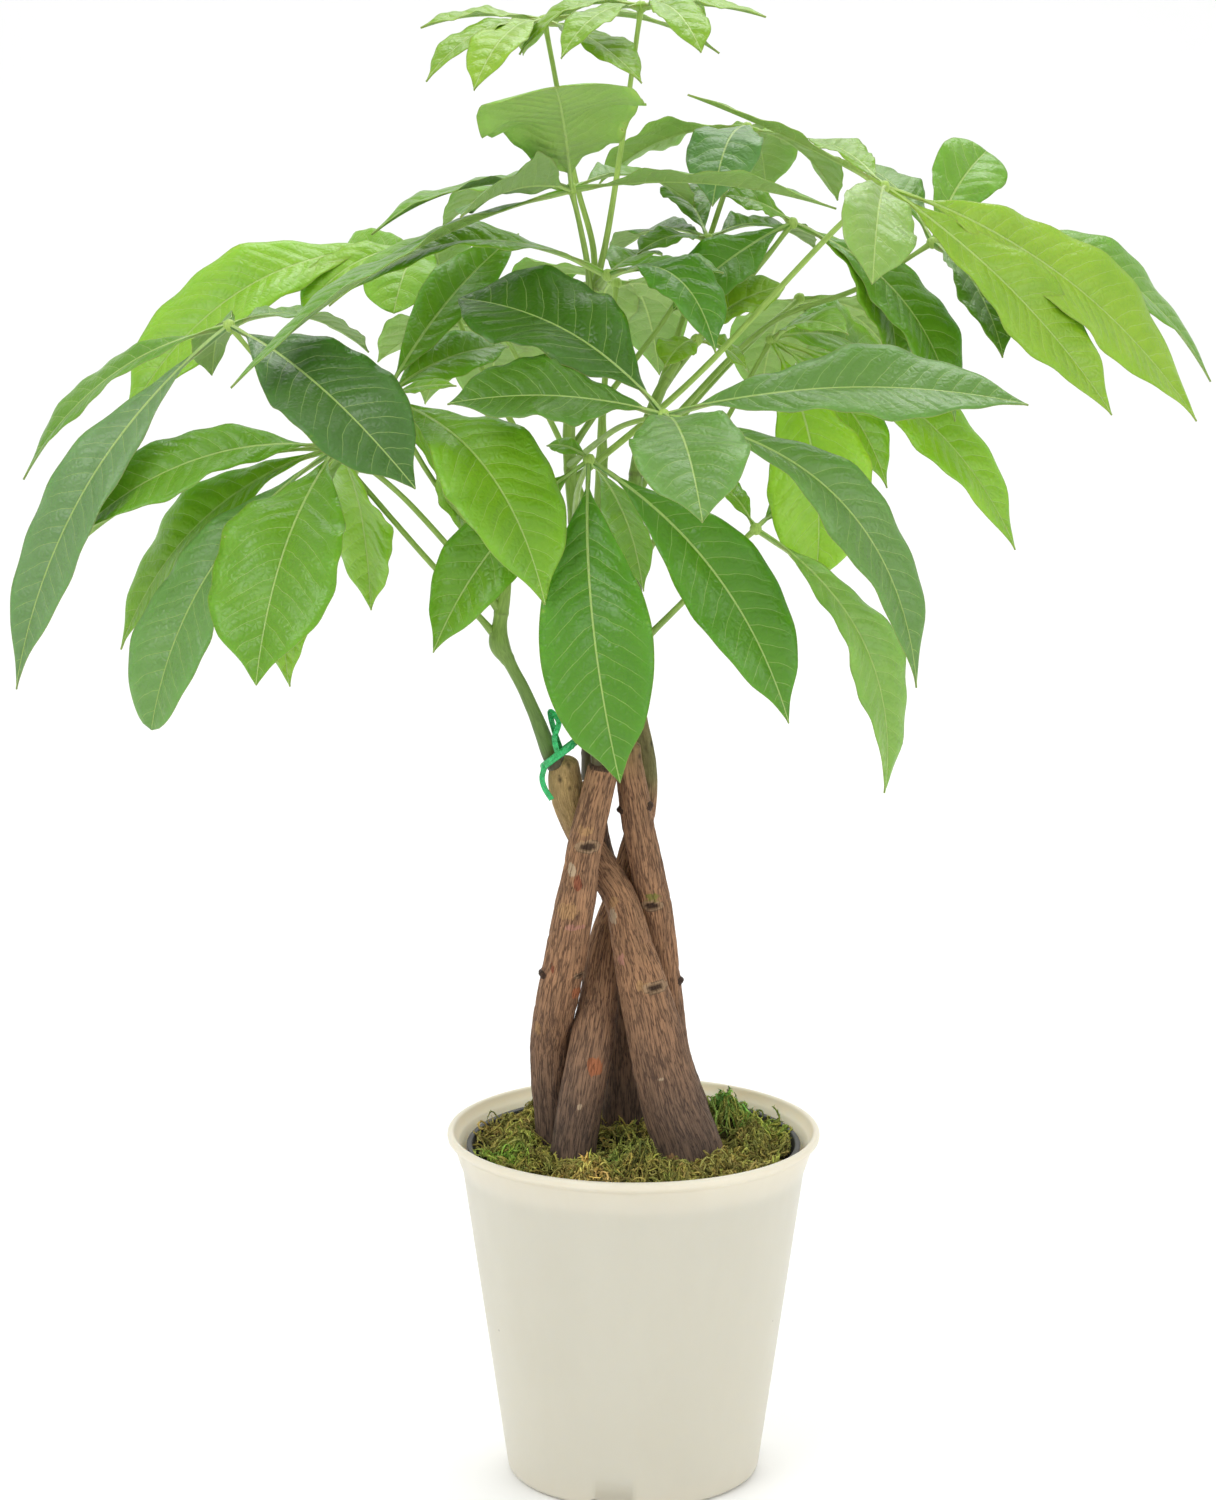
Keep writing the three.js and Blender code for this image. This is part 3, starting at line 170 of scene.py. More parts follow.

# The compound leaves. hub: where the leaflets meet. face: the way the fan of leaflets looks.
# stem: the petiole's points from the shoot up to the hub, which is added as its last point.
# leaflets: [tip x, y, z, width, arch as a share of the length, twist in degrees, bluntness 0 to 1,
# sideways bow, fold]; a row ends where only usual values follow: none, none, none and the setting.
# tones: how light each leaflet is, 0 to 1. The optional last key: a painted grey sheen on single leaflets,
# 0 to 1, by their order.
# The tones are partly each leaflet's own green and partly painted light: leaflets at the back are given the
# lightest ones, for the light coming through them.
LEAVES = {
    "leaf_top_broad": {
        "hub": [-21, -15, 451], "face": [0, -0.2, 1],
        "stem": [[-15, -8, 410], [-15.5, -13, 424], [-18, -14.5, 438]],
        "leaflets": [
            [-25, -104, 489, 54, 0.05, 9, 0.85, 0, -0.04], [-86, -38, 438, 20, 0.12, 14],
            [-129, -80, 393, 24, 0.07, 21], [-66, 34, 433, 24, 0.12], [-56, -66, 446, 32, 0.08, 38],
            [65, -45, 447, 28, 0.06, -23], [21, 36, 441, 24, 0.12],
        ],
        "tones": [0.6, 0.45, 0.3, 0.5, 0.35, 0.6, 0.5], "dull": {4: 0.25, 5: 0.15},
    },
    "leaf_top_young_right": {
        "hub": [2, -5, 510], "face": [0, -0.1, 1],
        "stem": [[-13.5, -9.5, 417], [-10, -8, 431], [-5, -7, 461]],
        "leaflets": [
            [43, -12, 507, 14, 0.06], [21, -46, 497, 17, 0.14, 0, 0.4], [-24, -44, 495, 15, 0.12],
            [-38, -17, 495, 13, 0.18], [-26, 26, 504, 13, 0.1], [24, 30, 503, 13, 0.1],
        ],
        "tones": [0.4, 0.3, 0.25, 0.3, 0.4, 0.4],
    },
    "leaf_top_young_left": {
        "hub": [-30, 5, 505], "face": [0, -0.1, 1],
        "stem": [[-16.5, -7.5, 403], [-13.5, -2.5, 427], [-20, 0, 454]],
        "leaflets": [
            [-71, 0, 503, 16, 0.08], [-68, -31, 487, 15, 0.12], [-52, -46, 485, 18, 0.12, 0, 0.2],
            [2, -40, 487, 18, 0.06], [29, 38, 493, 13, 0.1], [-38, 48, 492, 15, 0.12],
        ],
        "tones": [0.4, 0.3, 0.5, 0.3, 0.4, 0.4],
    },
    "leaf_right_bright": {
        "hub": [83, -5, 451], "face": [0.4, -0.7, 0.6],
        "stem": [[-21, -5, 352], [18, -3, 385], [70, -5, 440]],
        "leaflets": [
            [17, -35, 483, 18, 0.02, 50], [61, 35, 464, 18, 0.06, 0, 0.6],
            [76, -60, 424, 28, 0.14, 0, 0.3], [196, 46, 366, 36, 0.08], [162, 8, 373, 32, 0.05],
        ],
        "tones": [0.4, 0.2, 0.55, 0.55, 0.45], "dull": {2: 0.35},
    },
    "leaf_right_behind": {
        "hub": [103, 45, 428], "face": [0.4, -0.4, 0.8],
        "stem": [[2, 4, 358], [18, 14, 376], [49, 38, 402], [78, 41, 413]],
        "leaflets": [
            [205, 78, 376, 30, 0.16], [188, 52, 384, 28, 0.1], [124, 78, 457, 26, 0.08, 0, 1],
            [77, 92, 452, 24, 0.1, 0, 0.2], [125, 12, 392, 24, 0.12], [143, 30, 389, 28, 0.1],
        ],
        "tones": [0.8, 0.7, 0.9, 0.7, 0.5, 0.4],
    },
    "leaf_front_right": {
        "hub": [9, -70, 383], "face": [0, -0.5, 0.85],
        "stem": [[-21.5, -6, 358], [-13, -28, 368], [-4, -50, 377]],
        "leaflets": [
            [127, -60, 385, 36, 0.06], [91, -76, 295, 28, 0.19], [20, -140, 359, 38, 0.12, 0, 0.2],
            [-60, -82, 388, 34, 0.06], [-58, -28, 416, 44, 0.1, 0, 0.5],
        ],
        "tones": [0.5, 0.55, 0.6, 0.35, 0.15], "dull": {0: 0.15, 1: 0.2, 2: 0.2},
    },
    "leaf_front_centre": {
        "hub": [-15, -52, 366], "face": [0, -0.8, 0.6],
        "stem": [[-20, -6, 338], [-19, -28, 352]],
        "leaflets": [
            [-5, -92, 267, 37, 0.12, 0, 0.2, 7], [50, -70, 282, 31, 0.1], [-66, -62, 304, 26, 0.08],
            [-29, -40, 369, 7, 0.1], [3, -25, 318, 16, 0.1, 60],
        ],
        "tones": [0.12, 0.15, 0.4, 0.5, 0.5],
    },
    "leaf_low_right": {
        "hub": [41, -8, 336.5], "face": [0.4, -0.5, 0.75],
        "stem": [[2, 8, 294], [17, 3, 310], [33, -5, 328.5]],
        "leaflets": [
            [85, -16, 247, 28, 0.16], [23, 15, 353, 12, 0.08], [70, 40, 320, 22, 0.2],
        ],
        "tones": [0.75, 0.6, 0.6], "dull": {0: 0.25},
    },
    "leaf_far_left": {
        "hub": [-133, -35, 408], "face": [-0.25, -0.4, 0.88],
        "stem": [[-46, -18, 301], [-57, -20, 314], [-74, -23, 334], [-100, -28, 366]],
        "leaflets": [
            [-203, -58, 291, 26, 0.1, -15], [-204, -20, 355, 19, 0.11],
            [-70, -90, 362, 38, 0.12, 0, 0.2, 6], [-90, 12, 394, 22, 0.12],
            [-142, -4, 388, 18, 0.2, 0, 0.4],
        ],
        "tones": [0.5, 0.7, 0.12, 0.5, 0.5], "dull": {0: 0.45, 2: 0.08},
    },
    "leaf_back_left": {
        "hub": [-72, 45, 426], "face": [-0.2, -0.6, 0.77],
        "stem": [[-14, 18, 304], [-30, 28, 345], [-55, 38, 390], [-66, 43, 414]],
        "leaflets": [
            [-173, 10, 370, 36, 0.16, 0, 0.2], [-114, 16, 404, 20, 0.14],
            [-81, 4, 408, 26, 0.12, 0, 0.8], [-118, 92, 398, 26, 0.12], [-68, 106, 402, 26, 0.14],
        ],
        "tones": [0.85, 0.8, 0.7, 0.6, 0.6],
    },
    "leaf_low_left": {
        "hub": [-97, -42, 369], "face": [-0.25, -0.6, 0.75],
        "stem": [[-45, -18, 310], [-55, -22, 324], [-78, -32, 352]],
        "leaflets": [
            [-121, -98, 300, 46, 0.12, 0, 0.2], [-183, -52, 341, 27, 0.12],
            [-194, -20, 326, 24, 0.1, 35], [-173, -18, 297, 28, 0.12],
            [-158, -66, 279, 31, 0.12, 0, 0.9], [-114, -48, 290, 28, 0.1],
            [-89, -10, 309, 29, 0.12],
        ],
        "tones": [0.38, 0.35, 0.75, 0.7, 0.3, 0.9, 0.95], "dull": {4: 0.35},
    },
    "leaf_mid_left": {
        "hub": [-82, -42, 385], "face": [0.1, -0.6, 0.8],
        "stem": [[-16, -10, 300], [-38, -12, 323], [-63, -26, 350]],
        "leaflets": [
            [-39, 12, 434, 20, 0.06], [-29, -92, 325, 38, 0.16, 0, 0.1], [-42, -8, 398, 20, 0.08],
            [-101, 8, 331, 27, 0.14], [-55, -12, 327, 26, 0.12], [-58, -58, 391, 7, 0.05],
        ],
        "tones": [0.35, 0.55, 0.5, 0.8, 0.8, 0.6],
    },
    "leaf_mid_back": {
        "hub": [25, 25, 431], "face": [0, -0.2, 1],
        "stem": [[-22, -4.5, 362], [-9, 3, 380], [14, 18, 410]],
        "leaflets": [
            [1, 2, 428, 16, 0.1], [12, 64, 446, 16, 0.1], [64, 66, 424, 24, 0.12],
            [-8, 70, 420, 22, 0.12],
        ],
        "tones": [0.5, 0.5, 0.4, 0.5],
    },
    "leaf_back_right": {
        "hub": [47, 30, 396], "face": [0.2, -0.6, 0.77],
        "stem": [[0, 6, 316], [6, 9, 328], [26, 20, 360]],
        "leaflets": [
            [62, 6, 318, 39, 0.14, 0, 0.7], [133, 38, 322, 30, 0.12], [87, 22, 346, 20, 0.1],
            [72, 2, 401, 17, 0.14], [92, 66, 377, 34, 0.14, 0, 0.3],
        ],
        "tones": [1.0, 0.85, 0.7, 0.6, 0.7],
    },
    "leaf_high_back": {
        "hub": [39, 50, 467], "face": [0, -0.2, 1],
        "stem": [[3, 4.5, 366], [16, 24, 402], [30, 42, 442]],
        "leaflets": [
            [26, 2, 444, 26, 0.16, 0, 0.2], [-12, 62, 447, 26, 0.12, 30], [72, 78, 440, 28, 0.12],
            [48, 104, 440, 26, 0.14],
        ],
        "tones": [0.1, 0.8, 0.75, 0.6], "dull": {0: 0.25},
    },
    "leaf_mid_crown": {
        "hub": [-9, -19, 423], "face": [0, -0.25, 1],
        "stem": [[-11.6, -12, 419]],
        "leaflets": [
            [-100, -40, 415, 24, 0.17], [26, -52, 401, 26, 0.26], [29, -32, 425, 18, 0.06],
            [6, 22, 427, 18, 0.04],
        ],
        "tones": [0.5, 0.1, 0.3, 0.5],
    },
    "leaf_high_right": {
        "hub": [54, 30, 436], "face": [0.2, -0.5, 0.85],
        "stem": [[9, 6, 382], [28, 16, 405], [46, 26, 426]],
        "leaflets": [
            [30, 22, 446, 16, 0.08], [89, 27, 380, 26, 0.2, 0, 0.1], [110, 22, 369, 30, 0.14],
            [13, 2, 409, 23, 0.05, 0, 0.3],
        ],
        "tones": [0.5, 0.55, 0.25, 0.2],
    },
    "leaf_young_inner": {
        "hub": [21, 4, 399], "face": [0, -0.5, 0.85],
        "stem": [[15.5, 6.6, 393]],
        "leaflets": [
            [51, 14, 416, 20, 0.1, 0, 0.5], [39, 14, 387, 14, 0.1, 0, 0.2], [10, -14, 392, 14, 0.1],
        ],
        "tones": [0.4, 0.3, 0.4],
    },
    "leaf_rear_left": {
        "hub": [-47, 76, 395], "face": [-0.1, 0.4, 0.9],
        "stem": [[-12, 24, 326], [-24, 44, 356], [-40, 66, 384]],
        "leaflets": [
            [-76, 126, 362, 30, 0.14], [-52, 137, 353, 31, 0.16, 0, 0.2], [-27, 128, 368, 27, 0.14],
            [-92, 104, 380, 27, 0.12],
        ],
        "tones": [0.45, 0.35, 0.5, 0.55],
    },
    "leaf_rear_right": {
        "hub": [59, 82, 405], "face": [0.1, 0.4, 0.9],
        "stem": [[0.5, 3.2, 345], [14, 28, 366], [44, 66, 394]],
        "leaflets": [
            [47, 134, 360, 29, 0.15], [74, 138, 358, 31, 0.16, 0, 0.2], [101, 122, 366, 29, 0.14],
            [100, 92, 386, 26, 0.12],
        ],
        "tones": [0.5, 0.4, 0.5, 0.6],
    },
    "leaf_rear_centre": {
        "hub": [-6, 66, 412], "face": [0, 0.35, 0.9],
        "stem": [[-11, 33, 360], [-10, 46, 380], [-7, 60, 400]],
        "leaflets": [
            [-14, 124, 378, 28, 0.15], [10, 132, 372, 30, 0.16, 0, 0.2], [24, 104, 392, 25, 0.12],
            [-44, 100, 404, 26, 0.12],
        ],
        "tones": [0.5, 0.4, 0.55, 0.5],
    },
}
# The kind of each leaf that isn't a common leaf.
LEAF_KINDS = {
    "leaf_top_young_right": "young_leaf", "leaf_top_young_left": "young_leaf",
    "leaf_right_bright": "young_leaf", "leaf_young_inner": "young_leaf",
    "leaf_front_right": "dark_leaf", "leaf_far_left": "dark_leaf",
    "leaf_right_behind": "dark_leaf", "leaf_mid_back": "dark_leaf",
}

STALK_PART = 0.08  # share of a leaflet's length that is its own short stalk
STALK_HALF = 0.8
TIP_HALF = 0.2
HUB_RADIUS = 2.2
PETIOLE_FOOT = 1.2
PETIOLE_TOP = 0.8
PETIOLE_SIDES, PETIOLE_STEPS = 14, 64
RIB_HALF = 0.45
SIDE_COLUMNS = 7  # columns of faces beyond the midrib, on each side of it
WAVES = 2.5  # along a leaflet's edge
BASE_POWERS = (1.35, 1.25)  # a leaflet's outline rises with one power and falls with another:
TIP_POWERS = (1.1, 0.5)  # for a sharp and a blunt one


# ---- settings ------------------------------------------------------------------------------------

def hue(code):
    """A web colour as the linear values that a material takes."""
    parts = [int(code[i:i + 2], 16) / 255 for i in (1, 3, 5)]
    return tuple(p / 12.92 if p <= 0.04045 else ((p + 0.055) / 1.055) ** 2.4 for p in parts)


def length(name, description, millimetres):
    """A length setting."""
    return FloatProperty(name=name, description=description, default=millimetres * MM, min=0,
                         precision=4, unit="LENGTH", subtype="DISTANCE")


def colour(name, description, code):
    """A colour setting."""
    return FloatVectorProperty(name=name, description=description, default=hue(code), size=3,
                               min=0, max=1, subtype="COLOR")


def share(name, description, default):
    """A setting from none to all."""
    return FloatProperty(name=name, description=description, default=default, min=0, max=1,
                         subtype="FACTOR")


def top_of(node):
    """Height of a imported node's top, in millimetres."""
    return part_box(node)[1][2] / MM


class MoneyTreePot(bpy.types.PropertyGroup):
    """Sizes and colours of the cream pot, the grow pot in it and the soil."""

    height: length("Height", "Height of the cream pot", top_of("outer_pot"))
    top_radius: length("Top radius", "Radius over the lip", 65)
    band_radius: length("Band radius", "Radius of the band under the lip", 62.8)
    step_height: length("Step height", "Height of the lower edge of the band", 111)
    step_radius: length("Step radius", "Radius under the band", 59.7)
    step: length("Step", "How far the band stands out", 0.4)
    foot_radius: length("Foot radius", "Radius of the foot", 44)
    ring_width: length("Foot ring width", "Width of the ring that the pot stands on", 6)
    wall: length("Wall", "Thickness of the wall", 2)
    notch_width: length("Notch width", "Width of the notches in the foot", 20)
    notch_height: length("Notch height", "Height of the notches in the foot", 3.3)
    columns: IntProperty(name="Columns", description="Faces round the cream pot", default=216, min=24)
    cream: colour("Cream", "Colour of the cream plastic", "#d3cdbc")
    # Painted light: the inside wall over the moss is painted in this lighter, yellower cream, for the light
    # that comes through the thin plastic, and the band over the step takes a fifth of it.
    cream_painted_light: colour("Cream inside", "Colour of the wall over the moss, and in part of the band",
                         "#fff0dc")
    dark: colour("Grow pot", "Colour of the dark plastic", "#35373a")
    soil: colour("Soil", "Colour of the soil", "#3a2c20")


class MoneyTreeMoss(bpy.types.PropertyGroup):
    """Size, number and colour of the moss's strands."""

    strands: IntProperty(name="Strands", description="Number of curly strands", default=3000, min=0)
    strand_length: length("Strand length", "Length of the longest strands", 17)
    strand_radius: length("Strand radius", "Radius of a strand", 0.36)
    leaf_length: length("Leaf length", "Length of the tiny leaves on a strand", 1.7)
    base: colour("Base", "Colour of the moss between its brighter places", "#9c964f")
    # The mat is painted darker than the strands: painted shade in the gaps between them.
    deep: colour("Deep", "Colour of the mat under the strands", "#4d4922")


class MoneyTreeTrunks(bpy.types.PropertyGroup):
    """Fineness and colours of the trunks and shoots."""

    sides: IntProperty(name="Sides", description="Faces round a trunk", default=64, min=9)
    ridge: length("Ridge", "Height of the ridges in the bark", 0.34)
    bark: colour("Bark", "Colour of the ridges in the bark", "#9b7556")
    furrow: colour("Furrow", "Colour of the furrows in the bark", "#664a38")
    # This darker colour is also painted all along the back trunk, as painted shade.
    foot: colour("Foot", "Colour of the old bark near the soil", "#6b594c")
    shoot: colour("Shoot", "Colour of the green shoots", "#56792a")
    shoot_brown: colour("Shoot base", "Colour of the old part of a shoot", "#4f4526")
    petiole: colour("Petiole", "Colour of the leaves' stems", "#abcb60")


class MoneyTreeTie(bpy.types.PropertyGroup):
    """Size and colour of the foil tie."""

    width: length("Width", "Width of the band", 2.6)
    loose_width: length("Loose width", "Width of the loop and the tail", 1.9)
    thickness: length("Thickness", "Thickness of the foil", 0.35)
    green: colour("Foil", "Colour of the foil", "#2cc26c")


class MoneyTreeLeaves(bpy.types.PropertyGroup):
    """Shape and colours of the leaflets."""

    thickness: length("Thickness", "Thickness of a leaflet at its midrib", 0.5)
    fold: share("Fold", "How far the edges stand over the midrib, for each half width", 0.16)
    wave: share("Wave", "Height of the waves in the edge, for each width", 0.055)
    rows: IntProperty(name="Rows", description="Rows of faces along a leaflet", default=46, min=12)
    vein_gap: length("Vein gap", "Distance between side veins", 6.4)
    dark_deep: colour("Dark, deep", "Darkest colour of the dark leaves", "#335f10")
    dark_light: colour("Dark, light", "Lightest colour of the dark leaves", "#78a92e")
    leaf_deep: colour("Leaf, deep", "Darkest colour of the other leaves", "#43800f")
    leaf_light: colour("Leaf, light", "Lightest colour of the other leaves", "#96c42a")
    young_deep: colour("Young, deep", "Darkest colour of the young leaves", "#6f9c14")
    young_light: colour("Young, light", "Lightest colour of the young leaves", "#a5c72e")
    vein: colour("Vein", "Colour of the midrib and the side veins", "#b6d178")
    # A painted sheen: some leaflets are mixed towards this pale grey-green, a painted reflection of the
    # bright surroundings.
    dull: colour("Dull", "Colour of the grey sheen that some leaflets have", "#7f9a7a")
    margin: colour("Margin", "Colour of the thin line round a leaflet", "#8b8a48")
    gloss: share("Gloss", "Roughness of the upper side", 0.34)


class MoneyTreeStage(bpy.types.PropertyGroup):
    """Camera, floor and lights."""

    camera_back: length("Camera distance", "Distance of the camera in front of the pot's middle", 1450)
    camera_height: length("Camera height", "Height of the camera over the floor", 560)
    camera_side: FloatProperty(name="Camera side", description="Place of the camera from side to side",
                               default=-8.9 * MM, precision=4, unit="LENGTH", subtype="DISTANCE")
    camera_tilt: FloatProperty(name="Camera tilt", description="How far the camera looks down",
                               default=math.radians(11.74), unit="ROTATION", subtype="ANGLE")
    lens: FloatProperty(name="Lens", description="Focal length, for a frame 24 mm high, in millimetres",
                        default=69.14, min=1)
    floor: colour("Floor", "Colour of the floor and backdrop", "#fafaf8")
    sky: FloatProperty(name="Sky", description="Strength of the light from all round", default=0.78, min=0)


SETTINGS = {
    "money_tree_pot": MoneyTreePot, "money_tree_moss": MoneyTreeMoss,
    "money_tree_trunks": MoneyTreeTrunks, "money_tree_tie": MoneyTreeTie,
    "money_tree_leaves": MoneyTreeLeaves, "money_tree_stage": MoneyTreeStage,
}


# ---- meshes --------------------------------------------------------------------------------------

class Clay:
    """Points, faces and painted values of a piece that is being put together, in millimetres."""

    def __init__(self):
        self.points, self.faces, self.values, self.count = [], [], {}, 0

    def add(self, points, faces, **values):
        """Adds points with the arrays of faces between them, and a value or row for each point."""
        points = np.asarray(points, float).reshape(-1, 3)
        self.points.append(points)
        self.faces += [np.asarray(block) + self.count for block in faces if len(block)]
        for key, value in values.items():
            value = np.asarray(value, float)
            shape = (len(points), 3) if value.ndim and value.shape[-1] == 3 else (len(points),)
            self.values.setdefault(key, []).append(np.broadcast_to(value, shape))
        self.count += len(points)

    def piece(self, name, material, slot, *nodes):
        """The finished piece, which takes the place of the named nodes of the model."""
        mesh = bpy.data.meshes.new(name)
        faces = [face for block in self.faces for face in block.tolist()]
        mesh.from_pydata((np.concatenate(self.points) * MM).tolist(), [], faces)
        mesh.shade_smooth()
        for key, blocks in self.values.items():
            data = np.concatenate(blocks)
            kind, field = ("FLOAT", "value") if data.ndim == 1 else ("FLOAT_VECTOR", "vector")
            painted = mesh.attributes.new(key, kind, "POINT").data
            painted.foreach_set(field, data.astype(np.float32).ravel())
        mesh.materials.append(material)
        piece = bpy.data.objects.new(name, mesh)
        bpy.context.scene.collection.objects.link(piece)
        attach(piece, "root")
        if nodes:
            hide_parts(*nodes)
        return piece


def grid_faces(rows, columns, closed=False):
    """Four-sided faces of a grid of points; a closed one joins its last column to its first."""
    row, column = np.mgrid[0:rows - 1, 0:columns if closed else columns - 1]
    a, b = row * columns + column, row * columns + (column + 1) % columns
    return np.stack([a, b, b + columns, a + columns], -1).reshape(-1, 4)


def fan_faces(centre, ring, flip=False):
    """Three-sided faces from a centre point to a ring of points."""
    ring = np.asarray(ring)
    after = np.roll(ring, -1)
    pair = (after, ring) if flip else (ring, after)
    return np.stack([np.full(len(ring), centre), *pair], -1)


def rim_faces(rows, columns):
    """Four-sided faces between the rims of two equal grids, one after the other in a piece."""
    size = rows * columns
    rim = np.concatenate([np.arange(columns), np.arange(2 * columns - 1, size, columns),
                          np.arange(size - 2, size - columns - 1, -1),
                          np.arange(size - 2 * columns, 0, -columns)])
    after = np.roll(rim, -1)
    return np.stack([rim, rim + size, after + size, after], -1)


def ball(subdivisions):
    """Points and faces of a ball with a radius of one."""
    mesh = bmesh.new()
    bmesh.ops.create_icosphere(mesh, subdivisions=subdivisions, radius=1)
    points = np.array([v.co for v in mesh.verts])
    faces = np.array([[v.index for v in face.verts] for face in mesh.faces])
    mesh.free()
    return points, faces


def bumps(places, scale, shift=0.0):
    """Smooth noise from -1 to 1 at places, with lumps of about 1 / scale."""
    places = np.asarray(places, float)
    flat = (places * scale + shift).reshape(-1, 3).tolist()
    return np.array([noise.noise(place) for place in flat]).reshape(places.shape[:-1])


def smooth_step(low, high, value):
    """0 under low, 1 over high, and a smooth rise between them."""
    part = np.clip((np.asarray(value, float) - low) / (high - low), 0, 1)
    return part * part * (3 - 2 * part)


def unit(vectors):
    """Vectors made one long."""
    vectors = np.asarray(vectors, float)
    return vectors / np.maximum(np.linalg.norm(vectors, axis=-1, keepdims=True), 1e-9)


def curve(rows, shares):
    """Values and directions of a smooth centripetal curve through rows, at shares 0 to 1 of it."""
    rows = np.asarray(rows, float)
    ends = np.vstack([2 * rows[0] - rows[1], rows, 2 * rows[-1] - rows[-2]])
    place = np.clip(shares, 0, 1) * (len(rows) - 1)
    low = np.minimum(place.astype(int), len(rows) - 2)
    part = (place - low)[:, None]
    before, start, end, after = (ends[low + i] for i in range(4))

    def gap(a, b):
        return np.maximum(np.sqrt(np.linalg.norm((b - a)[:, :3], axis=1, keepdims=True)), 1e-4)

    first, middle, last = gap(before, start), gap(start, end), gap(end, after)
    lead = ((start - before) / first - (end - before) / (first + middle) + (end - start) / middle) * middle
    trail = ((end - start) / middle - (after - start) / (middle + last) + (after - end) / last) * middle
    square = -3 * start + 3 * end - 2 * lead - trail
    cube = 2 * start - 2 * end + lead + trail
    values = start + lead * part + square * part ** 2 + cube * part ** 3
    return values, unit((lead + 2 * square * part + 3 * cube * part ** 2)[:, :3])


class Stem:
    """A round stem through rows [x, y, z, radius]: its stations, directions and radius."""

    def __init__(self, rows, sides, steps):
        values, self.along = curve(rows, np.linspace(0, 1, steps + 1))
        self.centre, self.radius = values[:, :3], values[:, 3]
        moves = np.linalg.norm(np.diff(self.centre, axis=0), axis=1)
        self.run = np.concatenate([[0], np.cumsum(moves)])
        side, across = np.array([1.0, 0, 0]), []
        for along in self.along:
            side = unit(side - side.dot(along) * along)
            across.append(side)
        across = np.array(across)
        other = np.cross(self.along, across)
        self.angle = 2 * np.pi * np.arange(sides) / sides
        cos, sin = np.cos(self.angle)[None, :, None], np.sin(self.angle)[None, :, None]
        self.spokes = across[:, None] * cos + other[:, None] * sin

    def round_off(self, reach):
        """Rounds both ends over a length, in millimetres."""
        for distance in (self.run, self.run[-1] - self.run):
            part = np.clip(distance / reach, 0, 1)
            self.radius = self.radius * np.sqrt(np.maximum(1 - (1 - part) ** 2, 0.003))

    def grain(self):
        """A place for each point that follows the stem: round it, and along it."""
        cos, sin = np.cos(self.angle), np.sin(self.angle)
        radius = self.radius[:, None]
        run = np.broadcast_to(self.run[:, None], (len(self.run), len(self.angle)))
        return np.stack([radius * cos, radius * sin, run], -1)

    def surface(self, lift=0.0):
        """The grid of points on the stem, lifted off its round shape."""
        return self.centre[:, None] + self.spokes * (self.radius[:, None] + lift)[..., None]

    def add_to(self, clay, lift=0.0, **values):
        """Adds the closed stem to a piece; a value is for each point, for each station or for all."""
        rows, sides = len(self.run), len(self.angle)
        points = np.vstack([self.surface(lift).reshape(-1, 3), self.centre[:1], self.centre[-1:]])
        last = rows * sides
        ring = np.arange(sides)
        faces = [grid_faces(rows, sides, True), fan_faces(last, ring, True),
                 fan_faces(last + 1, ring + last - sides)]

        def spread(value):
            value = np.asarray(value, float)
            if value.shape == (rows,):
                value = np.repeat(value[:, None], sides, axis=1)
            if value.ndim < 2:
                return value
            flat = value.reshape(rows * sides, *value.shape[2:])
            return np.concatenate([flat, flat[:1], flat[-1:]])

        clay.add(points, faces, **{key: spread(value) for key, value in values.items()})


def turned(profile, columns):
    """Points and faces turned about the Z axis from [radius, height]; one on the axis is one point."""
    rings = np.array([row for row in profile if row[0] > 0], float)
    angle = 2 * np.pi * np.arange(columns) / columns
    points = np.stack([rings[:, :1] * np.cos(angle), rings[:, :1] * np.sin(angle),
                       np.broadcast_to(rings[:, 1:], (len(rings), columns))], -1).reshape(-1, 3)
    faces, ring = [grid_faces(len(rings), columns, True)], np.arange(columns)
    poles = []
    if profile[0][0] == 0:
        faces.append(fan_faces(len(points), ring, True))
        poles.append([0, 0, profile[0][1]])
    if profile[-1][0] == 0:
        faces.append(fan_faces(len(points) + len(poles), ring + (len(rings) - 1) * columns))
        poles.append([0, 0, profile[-1][1]])
    return np.vstack([points, *[[pole] for pole in poles]]), faces


def held(profile, hold=0.5, step=9):
    """A profile with more points: near each corner, so that it stays crisp, and along long runs."""
    profile = np.asarray(profile, float)
    rows = [profile[0]]
    for start, end in zip(profile[:-1], profile[1:]):
        span = np.linalg.norm(end - start)
        if span > 4 * hold:
            inner = np.linspace(hold, span - hold, max(2, int(span / step) + 1))
            rows += [start + (end - start) * place / span for place in inner]
        rows.append(end)
    return rows


# ---- materials -----------------------------------------------------------------------------------

